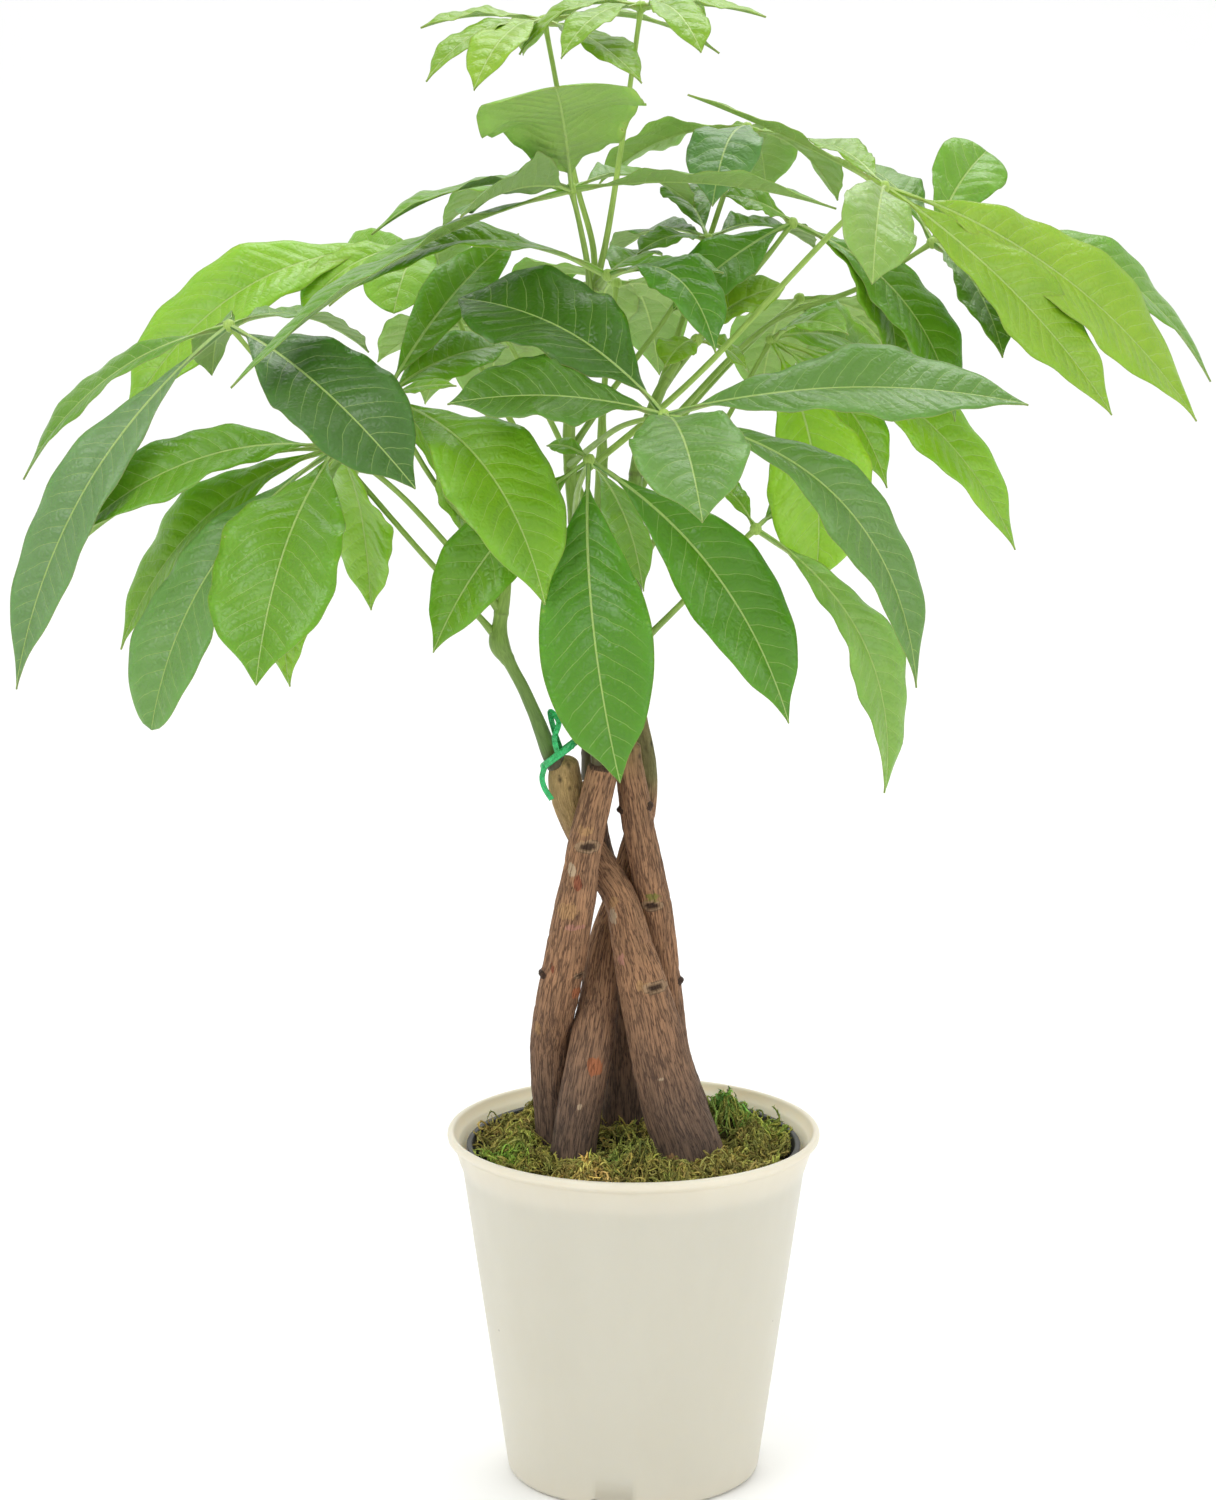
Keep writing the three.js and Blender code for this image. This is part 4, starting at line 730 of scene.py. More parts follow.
class Nodes:
    """Short ways to fill a node tree."""

    def __init__(self, tree):
        self.tree = tree

    def add(self, kind, values=(), **settings):
        """A node with its settings and the values or links of its inputs."""
        node = self.tree.nodes.new(kind)
        for key, value in settings.items():
            setattr(node, key, value)
        for key, value in dict(values).items():
            self.feed(node.inputs[key], value)
        return node

    def feed(self, socket, value):
        """Sets an input, or links it to another node's output."""
        if isinstance(value, bpy.types.NodeSocket):
            self.tree.links.new(value, socket)
        elif isinstance(value, tuple) and len(value) == 3 and len(socket.default_value) == 4:
            socket.default_value = (*value, 1)
        else:
            socket.default_value = value

    def painted(self, name, output="Fac"):
        """A value that is stored at the piece's points."""
        return self.add("ShaderNodeAttribute", attribute_name=name).outputs[output]

    def math(self, operation, *values, clamp=False):
        """A calculation with one to three values."""
        return self.add("ShaderNodeMath", dict(enumerate(values)), operation=operation,
                        use_clamp=clamp).outputs[0]

    def ease(self, value, low, high, start=0.0, end=1.0):
        """A smooth change from start at low to end at high."""
        return self.add("ShaderNodeMapRange", {"Value": value, "From Min": low, "From Max": high,
                                               "To Min": start, "To Max": end},
                        interpolation_type="SMOOTHSTEP").outputs[0]

    def mix(self, amount, first, second, blend="MIX"):
        """Two colours mixed."""
        return self.add("ShaderNodeMix", {0: amount, 6: first, 7: second}, data_type="RGBA",
                        blend_type=blend).outputs[2]

    def times(self, colour, factors):
        """A colour with its red, green and blue multiplied."""
        return self.mix(1.0, colour, factors, "MULTIPLY")

    def noise(self, place, scale, detail=3.0, roughness=0.55):
        """Noise from 0 to 1."""
        return self.add("ShaderNodeTexNoise", {"Vector": place, "Scale": scale, "Detail": detail,
                                               "Roughness": roughness}).outputs["Fac"]

    def stretched(self, place, scale):
        """A place with its axes scaled."""
        return self.add("ShaderNodeMapping", {"Vector": place, "Scale": scale}).outputs[0]

    def object_place(self):
        """The place on the piece in millimetres."""
        place = self.add("ShaderNodeTexCoord").outputs["Object"]
        return self.stretched(place, (1 / MM, 1 / MM, 1 / MM))

    def group(self, group, **values):
        """The outputs of a shared group that gets its own values here."""
        node = self.tree.nodes.new("ShaderNodeGroup")
        node.node_tree = group
        for key, value in values.items():
            self.feed(node.inputs[key.replace("_", " ")], value)
        return node.outputs

    def bump(self, height, distance, strength=1.0):
        """A normal from a height; the distance is in millimetres."""
        return self.add("ShaderNodeBump", {"Height": height, "Distance": distance * MM,
                                           "Strength": strength}).outputs[0]


def shared_group(name, inputs, outputs, fill):
    """A node group that is built once: fill(nodes, inputs) gives the values of its outputs."""
    if name in bpy.data.node_groups:
        return bpy.data.node_groups[name]
    group = bpy.data.node_groups.new(name, "ShaderNodeTree")
    for key, (kind, default) in inputs.items():
        socket = group.interface.new_socket(key, in_out="INPUT", socket_type=kind)
        if default is not None:
            socket.default_value = default
    for key, kind in outputs.items():
        group.interface.new_socket(key, in_out="OUTPUT", socket_type=kind)
    nodes = Nodes(group)
    source = group.nodes.new("NodeGroupInput").outputs
    target = group.nodes.new("NodeGroupOutput").inputs
    for key, value in fill(nodes, source).items():
        group.links.new(value, target[key])
    return group


FLOAT, VECTOR, COLOUR = "NodeSocketFloat", "NodeSocketVector", "NodeSocketColor"


def mottle_group():
    """Soft patches of a second colour over the first, and the height that goes with them."""
    def fill(nodes, source):
        broad = nodes.noise(source["Place"], source["Scale"], 4.0, 0.6)
        mask = nodes.ease(broad, 0.36, 0.66)
        amount = nodes.math("MULTIPLY", mask, source["Amount"])
        return {"Colour": nodes.mix(amount, source["First"], source["Second"]), "Height": broad}

    inputs = {"Place": (VECTOR, None), "Scale": (FLOAT, 0.1), "Amount": (FLOAT, 0.5),
              "First": (COLOUR, None), "Second": (COLOUR, None)}
    return shared_group("Mottle", inputs, {"Colour": COLOUR, "Height": FLOAT}, fill)


def speck_group():
    """Scattered small specks as a mask."""
    def fill(nodes, source):
        cells = nodes.add("ShaderNodeTexVoronoi", {"Vector": source["Place"], "Scale": source["Scale"]})
        near = nodes.ease(cells.outputs["Distance"], 0.02, source["Size"], 1.0, 0.0)
        pick = nodes.add("ShaderNodeSeparateColor", {"Color": cells.outputs["Color"]}).outputs[0]
        few = nodes.math("LESS_THAN", pick, source["Share"])
        return {"Mask": nodes.math("MULTIPLY", near, few)}

    inputs = {"Place": (VECTOR, None), "Scale": (FLOAT, 0.1), "Size": (FLOAT, 0.05), "Share": (FLOAT, 0.3)}
    return shared_group("Specks", inputs, {"Mask": FLOAT}, fill)


def grain_group():
    """Lengthwise ridges and furrows of bark or stem skin."""
    def fill(nodes, source):
        fine = nodes.noise(nodes.stretched(source["Place"], (2.4, 2.4, 0.2)), 1.0, 4.0, 0.62)
        coarse = nodes.noise(nodes.stretched(source["Place"], (0.45, 0.45, 0.09)), 1.0, 3.0, 0.6)
        rings = nodes.noise(nodes.stretched(source["Place"], (0.12, 0.12, 0.9)), 1.0, 3.0, 0.6)
        net = nodes.noise(nodes.stretched(source["Place"], (1.0, 1.0, 0.1)), 1.0, 2.5, 0.55)
        from_crack = nodes.math("ABSOLUTE", nodes.math("SUBTRACT", net, 0.5))
        crack = nodes.math("MULTIPLY", nodes.ease(from_crack, 0.0, 0.07, 1.0, 0.0), source["Cracks"])
        both = nodes.math("MULTIPLY_ADD", coarse, 0.4, nodes.math("MULTIPLY", fine, 0.7))
        both = nodes.math("MULTIPLY_ADD", crack, -0.3, both)
        height = nodes.math("MULTIPLY_ADD", rings, source["Rings"], both)
        return {"Ridge": nodes.ease(height, source["Low"], source["High"]), "Height": height}

    inputs = {"Place": (VECTOR, None), "Rings": (FLOAT, 0.2), "Cracks": (FLOAT, 0.0), "Low": (FLOAT, 0.4),
              "High": (FLOAT, 0.7)}
    return shared_group("Stem grain", inputs, {"Ridge": FLOAT, "Height": FLOAT}, fill)


def vein_group():
    """Midrib, side veins and the pillows between them, on a leaflet."""
    def fill(nodes, source):
        out = nodes.math("ABSOLUTE", source["Across"])
        from_midrib = nodes.math("MULTIPLY", out, source["Half"])
        reach = nodes.math("MULTIPLY_ADD", source["Along"], -0.45, source["Midrib"])
        midrib = nodes.ease(from_midrib, nodes.math("MULTIPLY", reach, 0.55), reach, 1.0, 0.0)
        right = nodes.math("GREATER_THAN", source["Across"], 0.0)
        wander = nodes.noise(source["Place"], 0.09, 2.0)
        phase = nodes.math("MULTIPLY_ADD", right, 0.41, source["Phase"])
        phase = nodes.math("MULTIPLY_ADD", wander, 0.55, phase)
        part = nodes.math("FRACT", phase)
        near = nodes.math("SUBTRACT", 0.5, nodes.math("ABSOLUTE", nodes.math("SUBTRACT", part, 0.5)))
        line = nodes.ease(near, 0.012, source["Fine"], 1.0, 0.0)
        inside = nodes.ease(out, 0.55, 0.97, 1.0, 0.0)
        side = nodes.math("MULTIPLY", line, inside)
        pillow = nodes.math("MULTIPLY", nodes.ease(near, 0.0, 0.4), inside)
        net = nodes.add("ShaderNodeTexVoronoi", {"Vector": source["Place"], "Scale": 0.42},
                        feature="DISTANCE_TO_EDGE").outputs["Distance"]
        pillow = nodes.math("MULTIPLY_ADD", nodes.ease(net, 0.0, 0.3), 0.3, pillow)
        return {"Midrib": midrib, "Side": side, "Height": pillow}

    inputs = {"Place": (VECTOR, None), "Across": (FLOAT, 0.0), "Along": (FLOAT, 0.0), "Half": (FLOAT, 10.0),
              "Phase": (FLOAT, 0.0), "Midrib": (FLOAT, 0.9), "Fine": (FLOAT, 0.05)}
    return shared_group("Leaf veins", inputs, {"Midrib": FLOAT, "Side": FLOAT, "Height": FLOAT}, fill)


def new_material(name, **constants):
    """A material with its shader; the constants go on the shader's own inputs."""
    material = bpy.data.materials.new(name)
    material.use_nodes = True
    shader = material.node_tree.nodes["Principled BSDF"]
    nodes = Nodes(material.node_tree)
    for key, value in constants.items():
        nodes.feed(shader.inputs[key.replace("_", " ")], value)
    return material, nodes, shader.inputs


def cream_plastic(pot):
    """Satin cream plastic with a few dark specks; the inside wall, and a little of the band over the step,
    are painted lighter and yellower as painted light.
    """
    material, nodes, shader = new_material("cream plastic", Specular_IOR_Level=0.45, Subsurface_Weight=0.7,
                                           Subsurface_Scale=6 * MM, Subsurface_Radius=(1, 0.88, 0.72))
    place = nodes.object_place()
    inside = nodes.painted("inside")
    # Painted light: the inside wall, and the band over the step by a fifth, are mixed towards the lighter
    # cream.
    base = nodes.mix(inside, tuple(pot.cream), tuple(pot.cream_painted_light))
    worn = nodes.group(mottle_group(), Place=nodes.stretched(place, (1, 1, 0.4)), Scale=0.03, Amount=0.35,
                       First=base, Second=nodes.times(base, (0.93, 0.92, 0.9)))
    specks = nodes.group(speck_group(), Place=place, Scale=0.085, Size=0.045, Share=0.22)["Mask"]
    nodes.feed(shader["Base Color"], nodes.mix(nodes.math("MULTIPLY", specks, 0.6), worn["Colour"],
                                               hue("#5a4a38")))
    fine = nodes.noise(place, 0.9, 3.0)
    nodes.feed(shader["Roughness"], nodes.ease(worn["Height"], 0.3, 0.7, 0.36, 0.46))
    nodes.feed(shader["Normal"], nodes.bump(fine, 0.05, 0.6))
    return material


def dark_plastic(pot):
    """Thin dark grey plastic with dusty patches."""
    material, nodes, shader = new_material("dark plastic")
    place = nodes.object_place()
    dusty = nodes.group(mottle_group(), Place=place, Scale=0.12, Amount=0.55, First=tuple(pot.dark),
                        Second=hue("#5b5a54"))
    nodes.feed(shader["Base Color"], dusty["Colour"])
    nodes.feed(shader["Roughness"], nodes.ease(dusty["Height"], 0.3, 0.7, 0.4, 0.68))
    nodes.feed(shader["Normal"], nodes.bump(nodes.noise(place, 1.5), 0.08, 0.7))
    return material


def soil_earth(pot):
    """Dark crumbly soil."""
    material, nodes, shader = new_material("soil", Roughness=0.95)
    place = nodes.object_place()
    crumbs = nodes.group(mottle_group(), Place=place, Scale=0.5, Amount=0.9, First=tuple(pot.soil),
                         Second=hue("#17100b"))
    light = nodes.group(speck_group(), Place=place, Scale=0.5, Size=0.3, Share=0.12)["Mask"]
    nodes.feed(shader["Base Color"], nodes.mix(light, crumbs["Colour"], hue("#7a6247")))
    nodes.feed(shader["Normal"], nodes.bump(nodes.noise(place, 1.2, 5.0), 0.5))
    return material


def moss_fibre():
    """Dry moss: each strand's own colour, lighter and darker along it."""
    material, nodes, shader = new_material("moss", Roughness=0.85, Specular_IOR_Level=0.25)
    place = nodes.object_place()
    tint = nodes.painted("tint", "Color")
    dark = nodes.times(tint, (0.6, 0.57, 0.48))
    fibre = nodes.group(mottle_group(), Place=place, Scale=0.75, Amount=0.85, First=tint, Second=dark)
    nodes.feed(shader["Base Color"], fibre["Colour"])
    nodes.feed(shader["Normal"], nodes.bump(nodes.noise(place, 3.0, 3.0), 0.35))
    return material


def bark_skin(trunks):
    """Furrowed grey-brown bark, darker at the foot, with the marks that are painted on it; painted shade on
    the back trunk and on one cut top, and a painted highlight on the highest ridges.
    """
    material, nodes, shader = new_material("bark", Specular_IOR_Level=0.3)
    place = nodes.painted("grain", "Vector")
    # The old value is the old bark at the foot, and painted shade all along the back trunk.
    old, green = nodes.painted("old"), nodes.painted("green")
    top = nodes.painted("top", "Color")
    cracks = nodes.ease(green, 0.0, 1.0, 1.0, 0.25)
    grain = nodes.group(grain_group(), Place=place, Rings=0.12, Cracks=cracks, Low=0.24, High=0.68)
    ridge = nodes.mix(old, tuple(trunks.bark), tuple(trunks.foot))
    ridge = nodes.mix(green, ridge, top)
    broad = nodes.group(mottle_group(), Place=nodes.stretched(place, (1, 1, 0.35)), Scale=0.16, Amount=0.5,
                        First=ridge, Second=nodes.times(ridge, (1.55, 1.47, 1.4)))
    furrow = nodes.mix(old, tuple(trunks.furrow), hue("#4c403a"))
    furrow = nodes.mix(green, furrow, nodes.times(top, (0.5, 0.48, 0.42)))
    bark = nodes.mix(grain["Ridge"], furrow, broad["Colour"])
    # Painted highlight: the highest ridges are mixed towards a colour up to 1.7 times as light.
    bark = nodes.mix(nodes.ease(grain["Height"], 0.58, 0.82, 0.0, 0.6), bark,
                     nodes.times(ridge, (1.7, 1.62, 1.55)))
    specks = nodes.group(speck_group(), Place=place, Scale=0.42, Size=0.26, Share=0.1)["Mask"]
    bark = nodes.mix(nodes.math("MULTIPLY", specks, 0.6), bark, hue("#241811"))
    blots = nodes.group(speck_group(), Place=nodes.stretched(place, (1, 1, 0.7)), Scale=0.34, Size=0.42,
                        Share=0.5)["Mask"]
    blots = nodes.math("MULTIPLY", blots, nodes.math("MULTIPLY", green, 0.85))
    bark = nodes.mix(blots, bark, hue("#1d1711"))
    ragged = nodes.noise(nodes.stretched(place, (1, 1, 0.6)), 0.6, 4.0, 0.65)
    ragged = nodes.math("MULTIPLY_ADD", ragged, 1.7, nodes.painted("mark_amount"))
    amount = nodes.ease(ragged, 1.14, 1.3, 0.0, 0.85)
    mark = nodes.mix(nodes.ease(grain["Height"], 0.2, 0.55, 0.6, 0.0), nodes.painted("mark", "Color"),
                     hue("#3a271b"))
    nodes.feed(shader["Base Color"], nodes.mix(amount, bark, mark))
    nodes.feed(shader["Roughness"], nodes.ease(grain["Height"], 0.2, 0.7, 0.92, 0.68))
    nodes.feed(shader["Normal"], nodes.bump(grain["Height"], 1.1, 0.9))
    return material


def green_stem(trunks):
    """Smooth green skin of shoots and petioles, with brown where it is old."""
    material, nodes, shader = new_material("green stem", Specular_IOR_Level=0.5)
    place = nodes.painted("grain", "Vector")
    grain = nodes.group(grain_group(), Place=place, Rings=0.05, Cracks=0.0, Low=0.4, High=0.72)
    base = nodes.mix(nodes.painted("fresh"), tuple(trunks.shoot), tuple(trunks.petiole))
    worn = nodes.math("MULTIPLY_ADD", nodes.noise(place, 0.5), 0.7, nodes.painted("brown"))
    base = nodes.mix(nodes.ease(worn, 0.55, 1.1), base, tuple(trunks.shoot_brown))
    shade = nodes.times(base, (0.66, 0.7, 0.6))
    nodes.feed(shader["Base Color"], nodes.mix(grain["Ridge"], shade, base))
    nodes.feed(shader["Roughness"], nodes.ease(grain["Height"], 0.4, 0.8, 0.48, 0.36))
    nodes.feed(shader["Normal"], nodes.bump(grain["Height"], 0.18, 0.6))
    return material


def green_foil(tie):
    """Crinkled, shiny green foil."""
    material, nodes, shader = new_material("green foil", Metallic=0.4, Coat_Weight=0.6)
    place = nodes.object_place()
    dark = nodes.times(tuple(tie.green), (0.3, 0.42, 0.34))
    foil = nodes.group(mottle_group(), Place=place, Scale=0.6, Amount=0.6, First=tuple(tie.green),
                       Second=dark)
    nodes.feed(shader["Base Color"], foil["Colour"])
    nodes.feed(shader["Roughness"], nodes.ease(foil["Height"], 0.3, 0.7, 0.16, 0.34))
    nodes.feed(shader["Normal"], nodes.bump(nodes.noise(place, 0.8, 4.0), 0.6))
    return material


def leaf_skin(name, deep, light, leaves):
    """Glossy leaf: pale veins, a thin dark margin, a duller and paler underside, and a painted grey sheen
    on some leaflets.
    """
    material, nodes, shader = new_material(name, Specular_IOR_Level=0.5, IOR=1.45, Coat_Roughness=0.25,
                                           Subsurface_Weight=0.25, Subsurface_Scale=1.2 * MM,
                                           Subsurface_Radius=(0.5, 1, 0.12))
    place = nodes.object_place()
    across, along, under = nodes.painted("across"), nodes.painted("along"), nodes.painted("under")
    dull = nodes.painted("dull")
    veins = nodes.group(vein_group(), Place=place, Across=across, Along=along, Half=nodes.painted("half"),
                        Phase=nodes.painted("vein"), Midrib=0.7, Fine=0.035)
    # Painted light: each leaflet's tone is partly painted light, and some leaflets are mixed towards a pale
    # grey-green, a painted sheen for the reflection of the bright surroundings.
    upper = nodes.mix(dull, nodes.mix(nodes.painted("tone"), deep, light), tuple(leaves.dull))
    patchy = nodes.group(mottle_group(), Place=place, Scale=0.05, Amount=0.5, First=upper,
                         Second=nodes.times(upper, (0.74, 0.84, 0.66)))["Colour"]
    pillow = nodes.mix(nodes.ease(veins["Height"], 0.2, 1.2, 0.0, 0.35), patchy,
                       nodes.times(patchy, (0.78, 0.84, 0.72)))
    lower = nodes.mix(0.42, pillow, hue("#a9bd7c"))
    skin = nodes.mix(under, pillow, lower)
    skin = nodes.mix(nodes.math("MULTIPLY", veins["Side"], 0.36), skin, tuple(leaves.vein))
    skin = nodes.mix(nodes.math("MULTIPLY", veins["Midrib"], 0.72), skin, tuple(leaves.vein))
    edge = nodes.math("MULTIPLY", nodes.math("SUBTRACT", 1.0, nodes.math("ABSOLUTE", across)),
                      nodes.painted("half"))
    rim = nodes.math("MULTIPLY", nodes.ease(edge, 0.1, 0.32, 0.5, 0.0), nodes.ease(along, 0.05, 0.1))
    nodes.feed(shader["Base Color"], nodes.mix(rim, skin, tuple(leaves.margin)))
    rough = nodes.ease(nodes.noise(place, 0.07), 0.3, 0.7, leaves.gloss - 0.04, leaves.gloss + 0.08)
    rough = nodes.math("MULTIPLY_ADD", under, 0.22, rough)
    nodes.feed(shader["Roughness"], rough)
    nodes.feed(shader["Coat Weight"], nodes.ease(under, 0.0, 1.0, 0.12, 0.0))
    sunk = nodes.math("MULTIPLY", veins["Side"], -0.35)
    height = nodes.math("ADD", veins["Height"], sunk)
    height = nodes.math("MULTIPLY_ADD", veins["Midrib"], -0.6, height)
    fine = nodes.math("MULTIPLY_ADD", nodes.noise(place, 0.8, 3.0), 0.25, height)
    nodes.feed(shader["Normal"], nodes.bump(fine, 0.42, 0.85))
    return material


def floor_paper(stage):
    """Plain pale paper."""
    material, nodes, shader = new_material("pale paper", Roughness=0.9, Specular_IOR_Level=0.1)
    place = nodes.object_place()
    paper = nodes.group(mottle_group(), Place=place, Scale=0.002, Amount=0.15, First=tuple(stage.floor),
                        Second=hue("#f7f7f5"))
    nodes.feed(shader["Base Color"], paper["Colour"])
    return material


# ---- pots and soil -------------------------------------------------------------------------------

FLOOR_TOP = 6  # of the cream pot
FLOOR_UNDER = 3.5
LIP = 4  # height of the lip
NOTCHES = 3
FIRST_NOTCH = -1.73  # radians from +X: the notch that faces the front
NOTCH_SLANT = 2
FOOT_ROUND = 3
GROW_TOP = 119
GROW_TOP_RADIUS = 57.5
GROW_FOOT_RADIUS = 40
GROW_WALL = 1.2
GROW_RIM = 3  # height of its rim
DRAIN_RADIUS = 4
DRAIN_DEPTH = 5
DRAIN_SIDES = 24
DRAIN_RING = 24  # radius of the circle on which the drain holes lie
SOIL_TOP = 111
CRUMB_RING = 47  # loose crumbs lie outside this radius, round the moss
GAP = 0.3  # between pieces that rest on each other


def grow_radius(height):
    """Radius of the grow pot's outside at a height."""
    return np.interp(height, [FLOOR_TOP, GROW_TOP], [GROW_FOOT_RADIUS, GROW_TOP_RADIUS])


class MONEYTREE_OT_outer_pot(bpy.types.Operator):
    """Builds the cream plastic pot: a tapered wall with a band, a lip and a notched foot"""

    bl_idname = "money_tree.outer_pot"
    bl_label = "Cream Pot"

    def execute(self, context):
        pot = context.scene.money_tree_pot
        high, top, band = pot.height / MM, pot.top_radius / MM, pot.band_radius / MM
        step_z, step_r, step = pot.step_height / MM, pot.step_radius / MM, pot.step / MM
        foot, ring, wall = pot.foot_radius / MM, (pot.foot_radius - pot.ring_width) / MM, pot.wall / MM
        under_lip = high - LIP

        def outside(z):
            if z < step_z:
                return foot + (step_r - foot) * z / step_z
            return np.interp(z, [step_z, under_lip], [step_r + step, band])

        turn = np.radians(np.linspace(-90, -4, 7))
        middle = outside(FOOT_ROUND) - FOOT_ROUND
        foot_round = [[middle + FOOT_ROUND * math.cos(a), FOOT_ROUND * (1 + math.sin(a))] for a in turn]
        profile = [
            [0, FLOOR_UNDER], [ring - 1.2, FLOOR_UNDER], [ring - 0.35, FLOOR_UNDER - 0.35],
            [ring, FLOOR_UNDER - 1.2], [ring, 0.5], [ring + 0.5, 0], *foot_round,
            [outside(step_z - 2.4), step_z - 2.4], [outside(step_z - 1.2) + 0.06, step_z - 1.2],
            [step_r + step / 2, step_z], [outside(step_z + 1.2) - 0.06, step_z + 1.2],
            [outside(step_z + 2.4), step_z + 2.4], [band - 0.05, under_lip - 0.3],
            [band + 0.35, under_lip + 0.15], [top - 0.7, under_lip + 0.95],
            [top - 0.15, under_lip + 1.5], [top, under_lip + 2.2],
            [top - 0.1, high - 0.9], [top - 0.5, high - 0.3], [top - 1.2, high], [top - 1.9, high - 0.12],
            [top - 2.3, high - 0.5], [band - wall, under_lip], [outside(step_z) - wall, step_z],
            [outside(FLOOR_TOP + 2) - wall, FLOOR_TOP + 2],
            [outside(FLOOR_TOP) - wall - 0.8, FLOOR_TOP + 0.5],
            [outside(FLOOR_TOP) - wall - 2, FLOOR_TOP], [0, FLOOR_TOP],
        ]
        points, faces = turned(held(profile), pot.columns)
        angle = np.arctan2(points[:, 1], points[:, 0]) - FIRST_NOTCH
        share_turn = 2 * np.pi / NOTCHES
        off = np.abs((angle + share_turn / 2) % share_turn - share_turn / 2) * foot
        notch = np.clip((pot.notch_width / 2 / MM - off) / NOTCH_SLANT, 0, 1) * pot.notch_height / MM
        radius = np.hypot(points[:, 0], points[:, 1])
        in_ring = (radius > ring - 0.2) & (points[:, 2] < notch)
        points[:, 2] = np.where(in_ring, notch, points[:, 2])
        # Painted light: the inner wall wholly, and the band over the step by a fifth, take the lighter
        # cream.
        inside = (points[:, 2] > FLOOR_TOP - 0.1) & (radius < [outside(z) - wall / 2 for z in points[:, 2]])
        band_painted_light = 0.2 * smooth_step(step_z - 4, step_z + 4, points[:, 2])
        clay = Clay()
        clay.add(points, faces, inside=np.where(inside, 1.0, band_painted_light))
        clay.piece("cream_pot", cream_plastic(pot), "cream_plastic", "outer_pot")
        return {"FINISHED"}


class MONEYTREE_OT_grow_pot(bpy.types.Operator):
    """Builds the thin dark pot that holds the roots, with drain holes in its floor"""

    bl_idname = "money_tree.grow_pot"
    bl_label = "Grow Pot"
    drains: IntProperty(name="Drains", description="Number of drain holes", default=6, min=0)

    def execute(self, context):
        pot = context.scene.money_tree_pot
        low, rim = FLOOR_TOP + GAP, GROW_TOP - GROW_RIM
        foot, under_rim, inside = grow_radius(low), grow_radius(rim), GROW_TOP_RADIUS - GROW_WALL
        profile = [
            [0, low], [foot - 0.6, low], [foot, low + 0.6], [under_rim, rim],
            [under_rim + 0.7, rim + 0.1], [under_rim + 0.85, rim + 0.4],
            [GROW_TOP_RADIUS + 0.8, GROW_TOP - 0.4], [GROW_TOP_RADIUS + 0.4, GROW_TOP],
            [inside + 0.3, GROW_TOP], [inside, GROW_TOP - 0.3], [foot - GROW_WALL, low + GROW_WALL],
            [0, low + GROW_WALL],
        ]
        clay = Clay()
        clay.add(*turned(held(profile, 0.3, 12), 144))
        piece = clay.piece("dark_grow_pot", dark_plastic(pot), "dark_plastic", "grow_pot")
        drill = bmesh.new()
        for i in range(self.drains):
            angle = 2 * math.pi * i / self.drains
            hole = bmesh.ops.create_cone(drill, cap_ends=True, segments=DRAIN_SIDES,
                                         radius1=DRAIN_RADIUS * MM, radius2=DRAIN_RADIUS * MM,
                                         depth=DRAIN_DEPTH * MM)
            place = [DRAIN_RING * math.cos(angle), DRAIN_RING * math.sin(angle), low]
            bmesh.ops.translate(drill, verts=hole["verts"], vec=[value * MM for value in place])
        holes = bpy.data.meshes.new("drains")
        drill.to_mesh(holes)
        drill.free()
        tool = bpy.data.objects.new("drains", holes)
        context.scene.collection.objects.link(tool)
        cut = piece.modifiers.new("drains", "BOOLEAN")
        cut.operation, cut.object, cut.solver = "DIFFERENCE", tool, "EXACT"
        context.view_layer.update()
        done = bpy.data.meshes.new_from_object(piece.evaluated_get(context.evaluated_depsgraph_get()))
        piece.modifiers.clear()
        piece.data = done
        bpy.data.objects.remove(tool)
        return {"FINISHED"}


class MONEYTREE_OT_soil(bpy.types.Operator):
    """Builds the root ball, with a rough top and loose crumbs"""

    bl_idname = "money_tree.soil"
    bl_label = "Soil"
    crumbs: IntProperty(name="Crumbs", description="Number of loose crumbs on the soil", default=260, min=0)

    def execute(self, context):
        pot = context.scene.money_tree_pot
        foot = FLOOR_TOP + GROW_WALL + 2 * GAP
        inset = GROW_WALL + GAP
        edge = grow_radius(SOIL_TOP) - inset
        profile = [[0, foot], [grow_radius(foot) - inset - 0.4, foot], [edge, SOIL_TOP - 0.6]]
        profile += [[radius, SOIL_TOP] for radius in np.linspace(edge - 0.5, 1, 40)] + [[0, SOIL_TOP]]
        points, faces = turned(profile, 160)
        lift = 0.7 * bumps(points, 0.35) + 0.4 * bumps(points, 0.9, 7)
        on_top = (points[:, 2] > SOIL_TOP - 0.1) & (np.hypot(points[:, 0], points[:, 1]) < edge - 0.2)
        points[:, 2] += np.where(on_top, lift, 0)
        clay = Clay()
        clay.add(points, faces)
        round_points, sides = ball(2)
        chance = np.random.default_rng(SEED)
        for i in range(self.crumbs):
            radius = chance.uniform(CRUMB_RING, edge - 1.6)
            angle = chance.uniform(0, 2 * np.pi)
            size = chance.uniform(0.5, 1.5)
            middle = [radius * math.cos(angle), radius * math.sin(angle), SOIL_TOP + 0.4 * size]
            lumpy = 1 + 0.45 * bumps(round_points, 1.3, i)[:, None]
            shape = round_points * lumpy * chance.uniform(0.6, 1.1, 3)
            clay.add(shape * size + middle, [sides])
        clay.piece("soil", soil_earth(pot), "soil", "root_ball")
        return {"FINISHED"}


# ---- moss ----------------------------------------------------------------------------------------

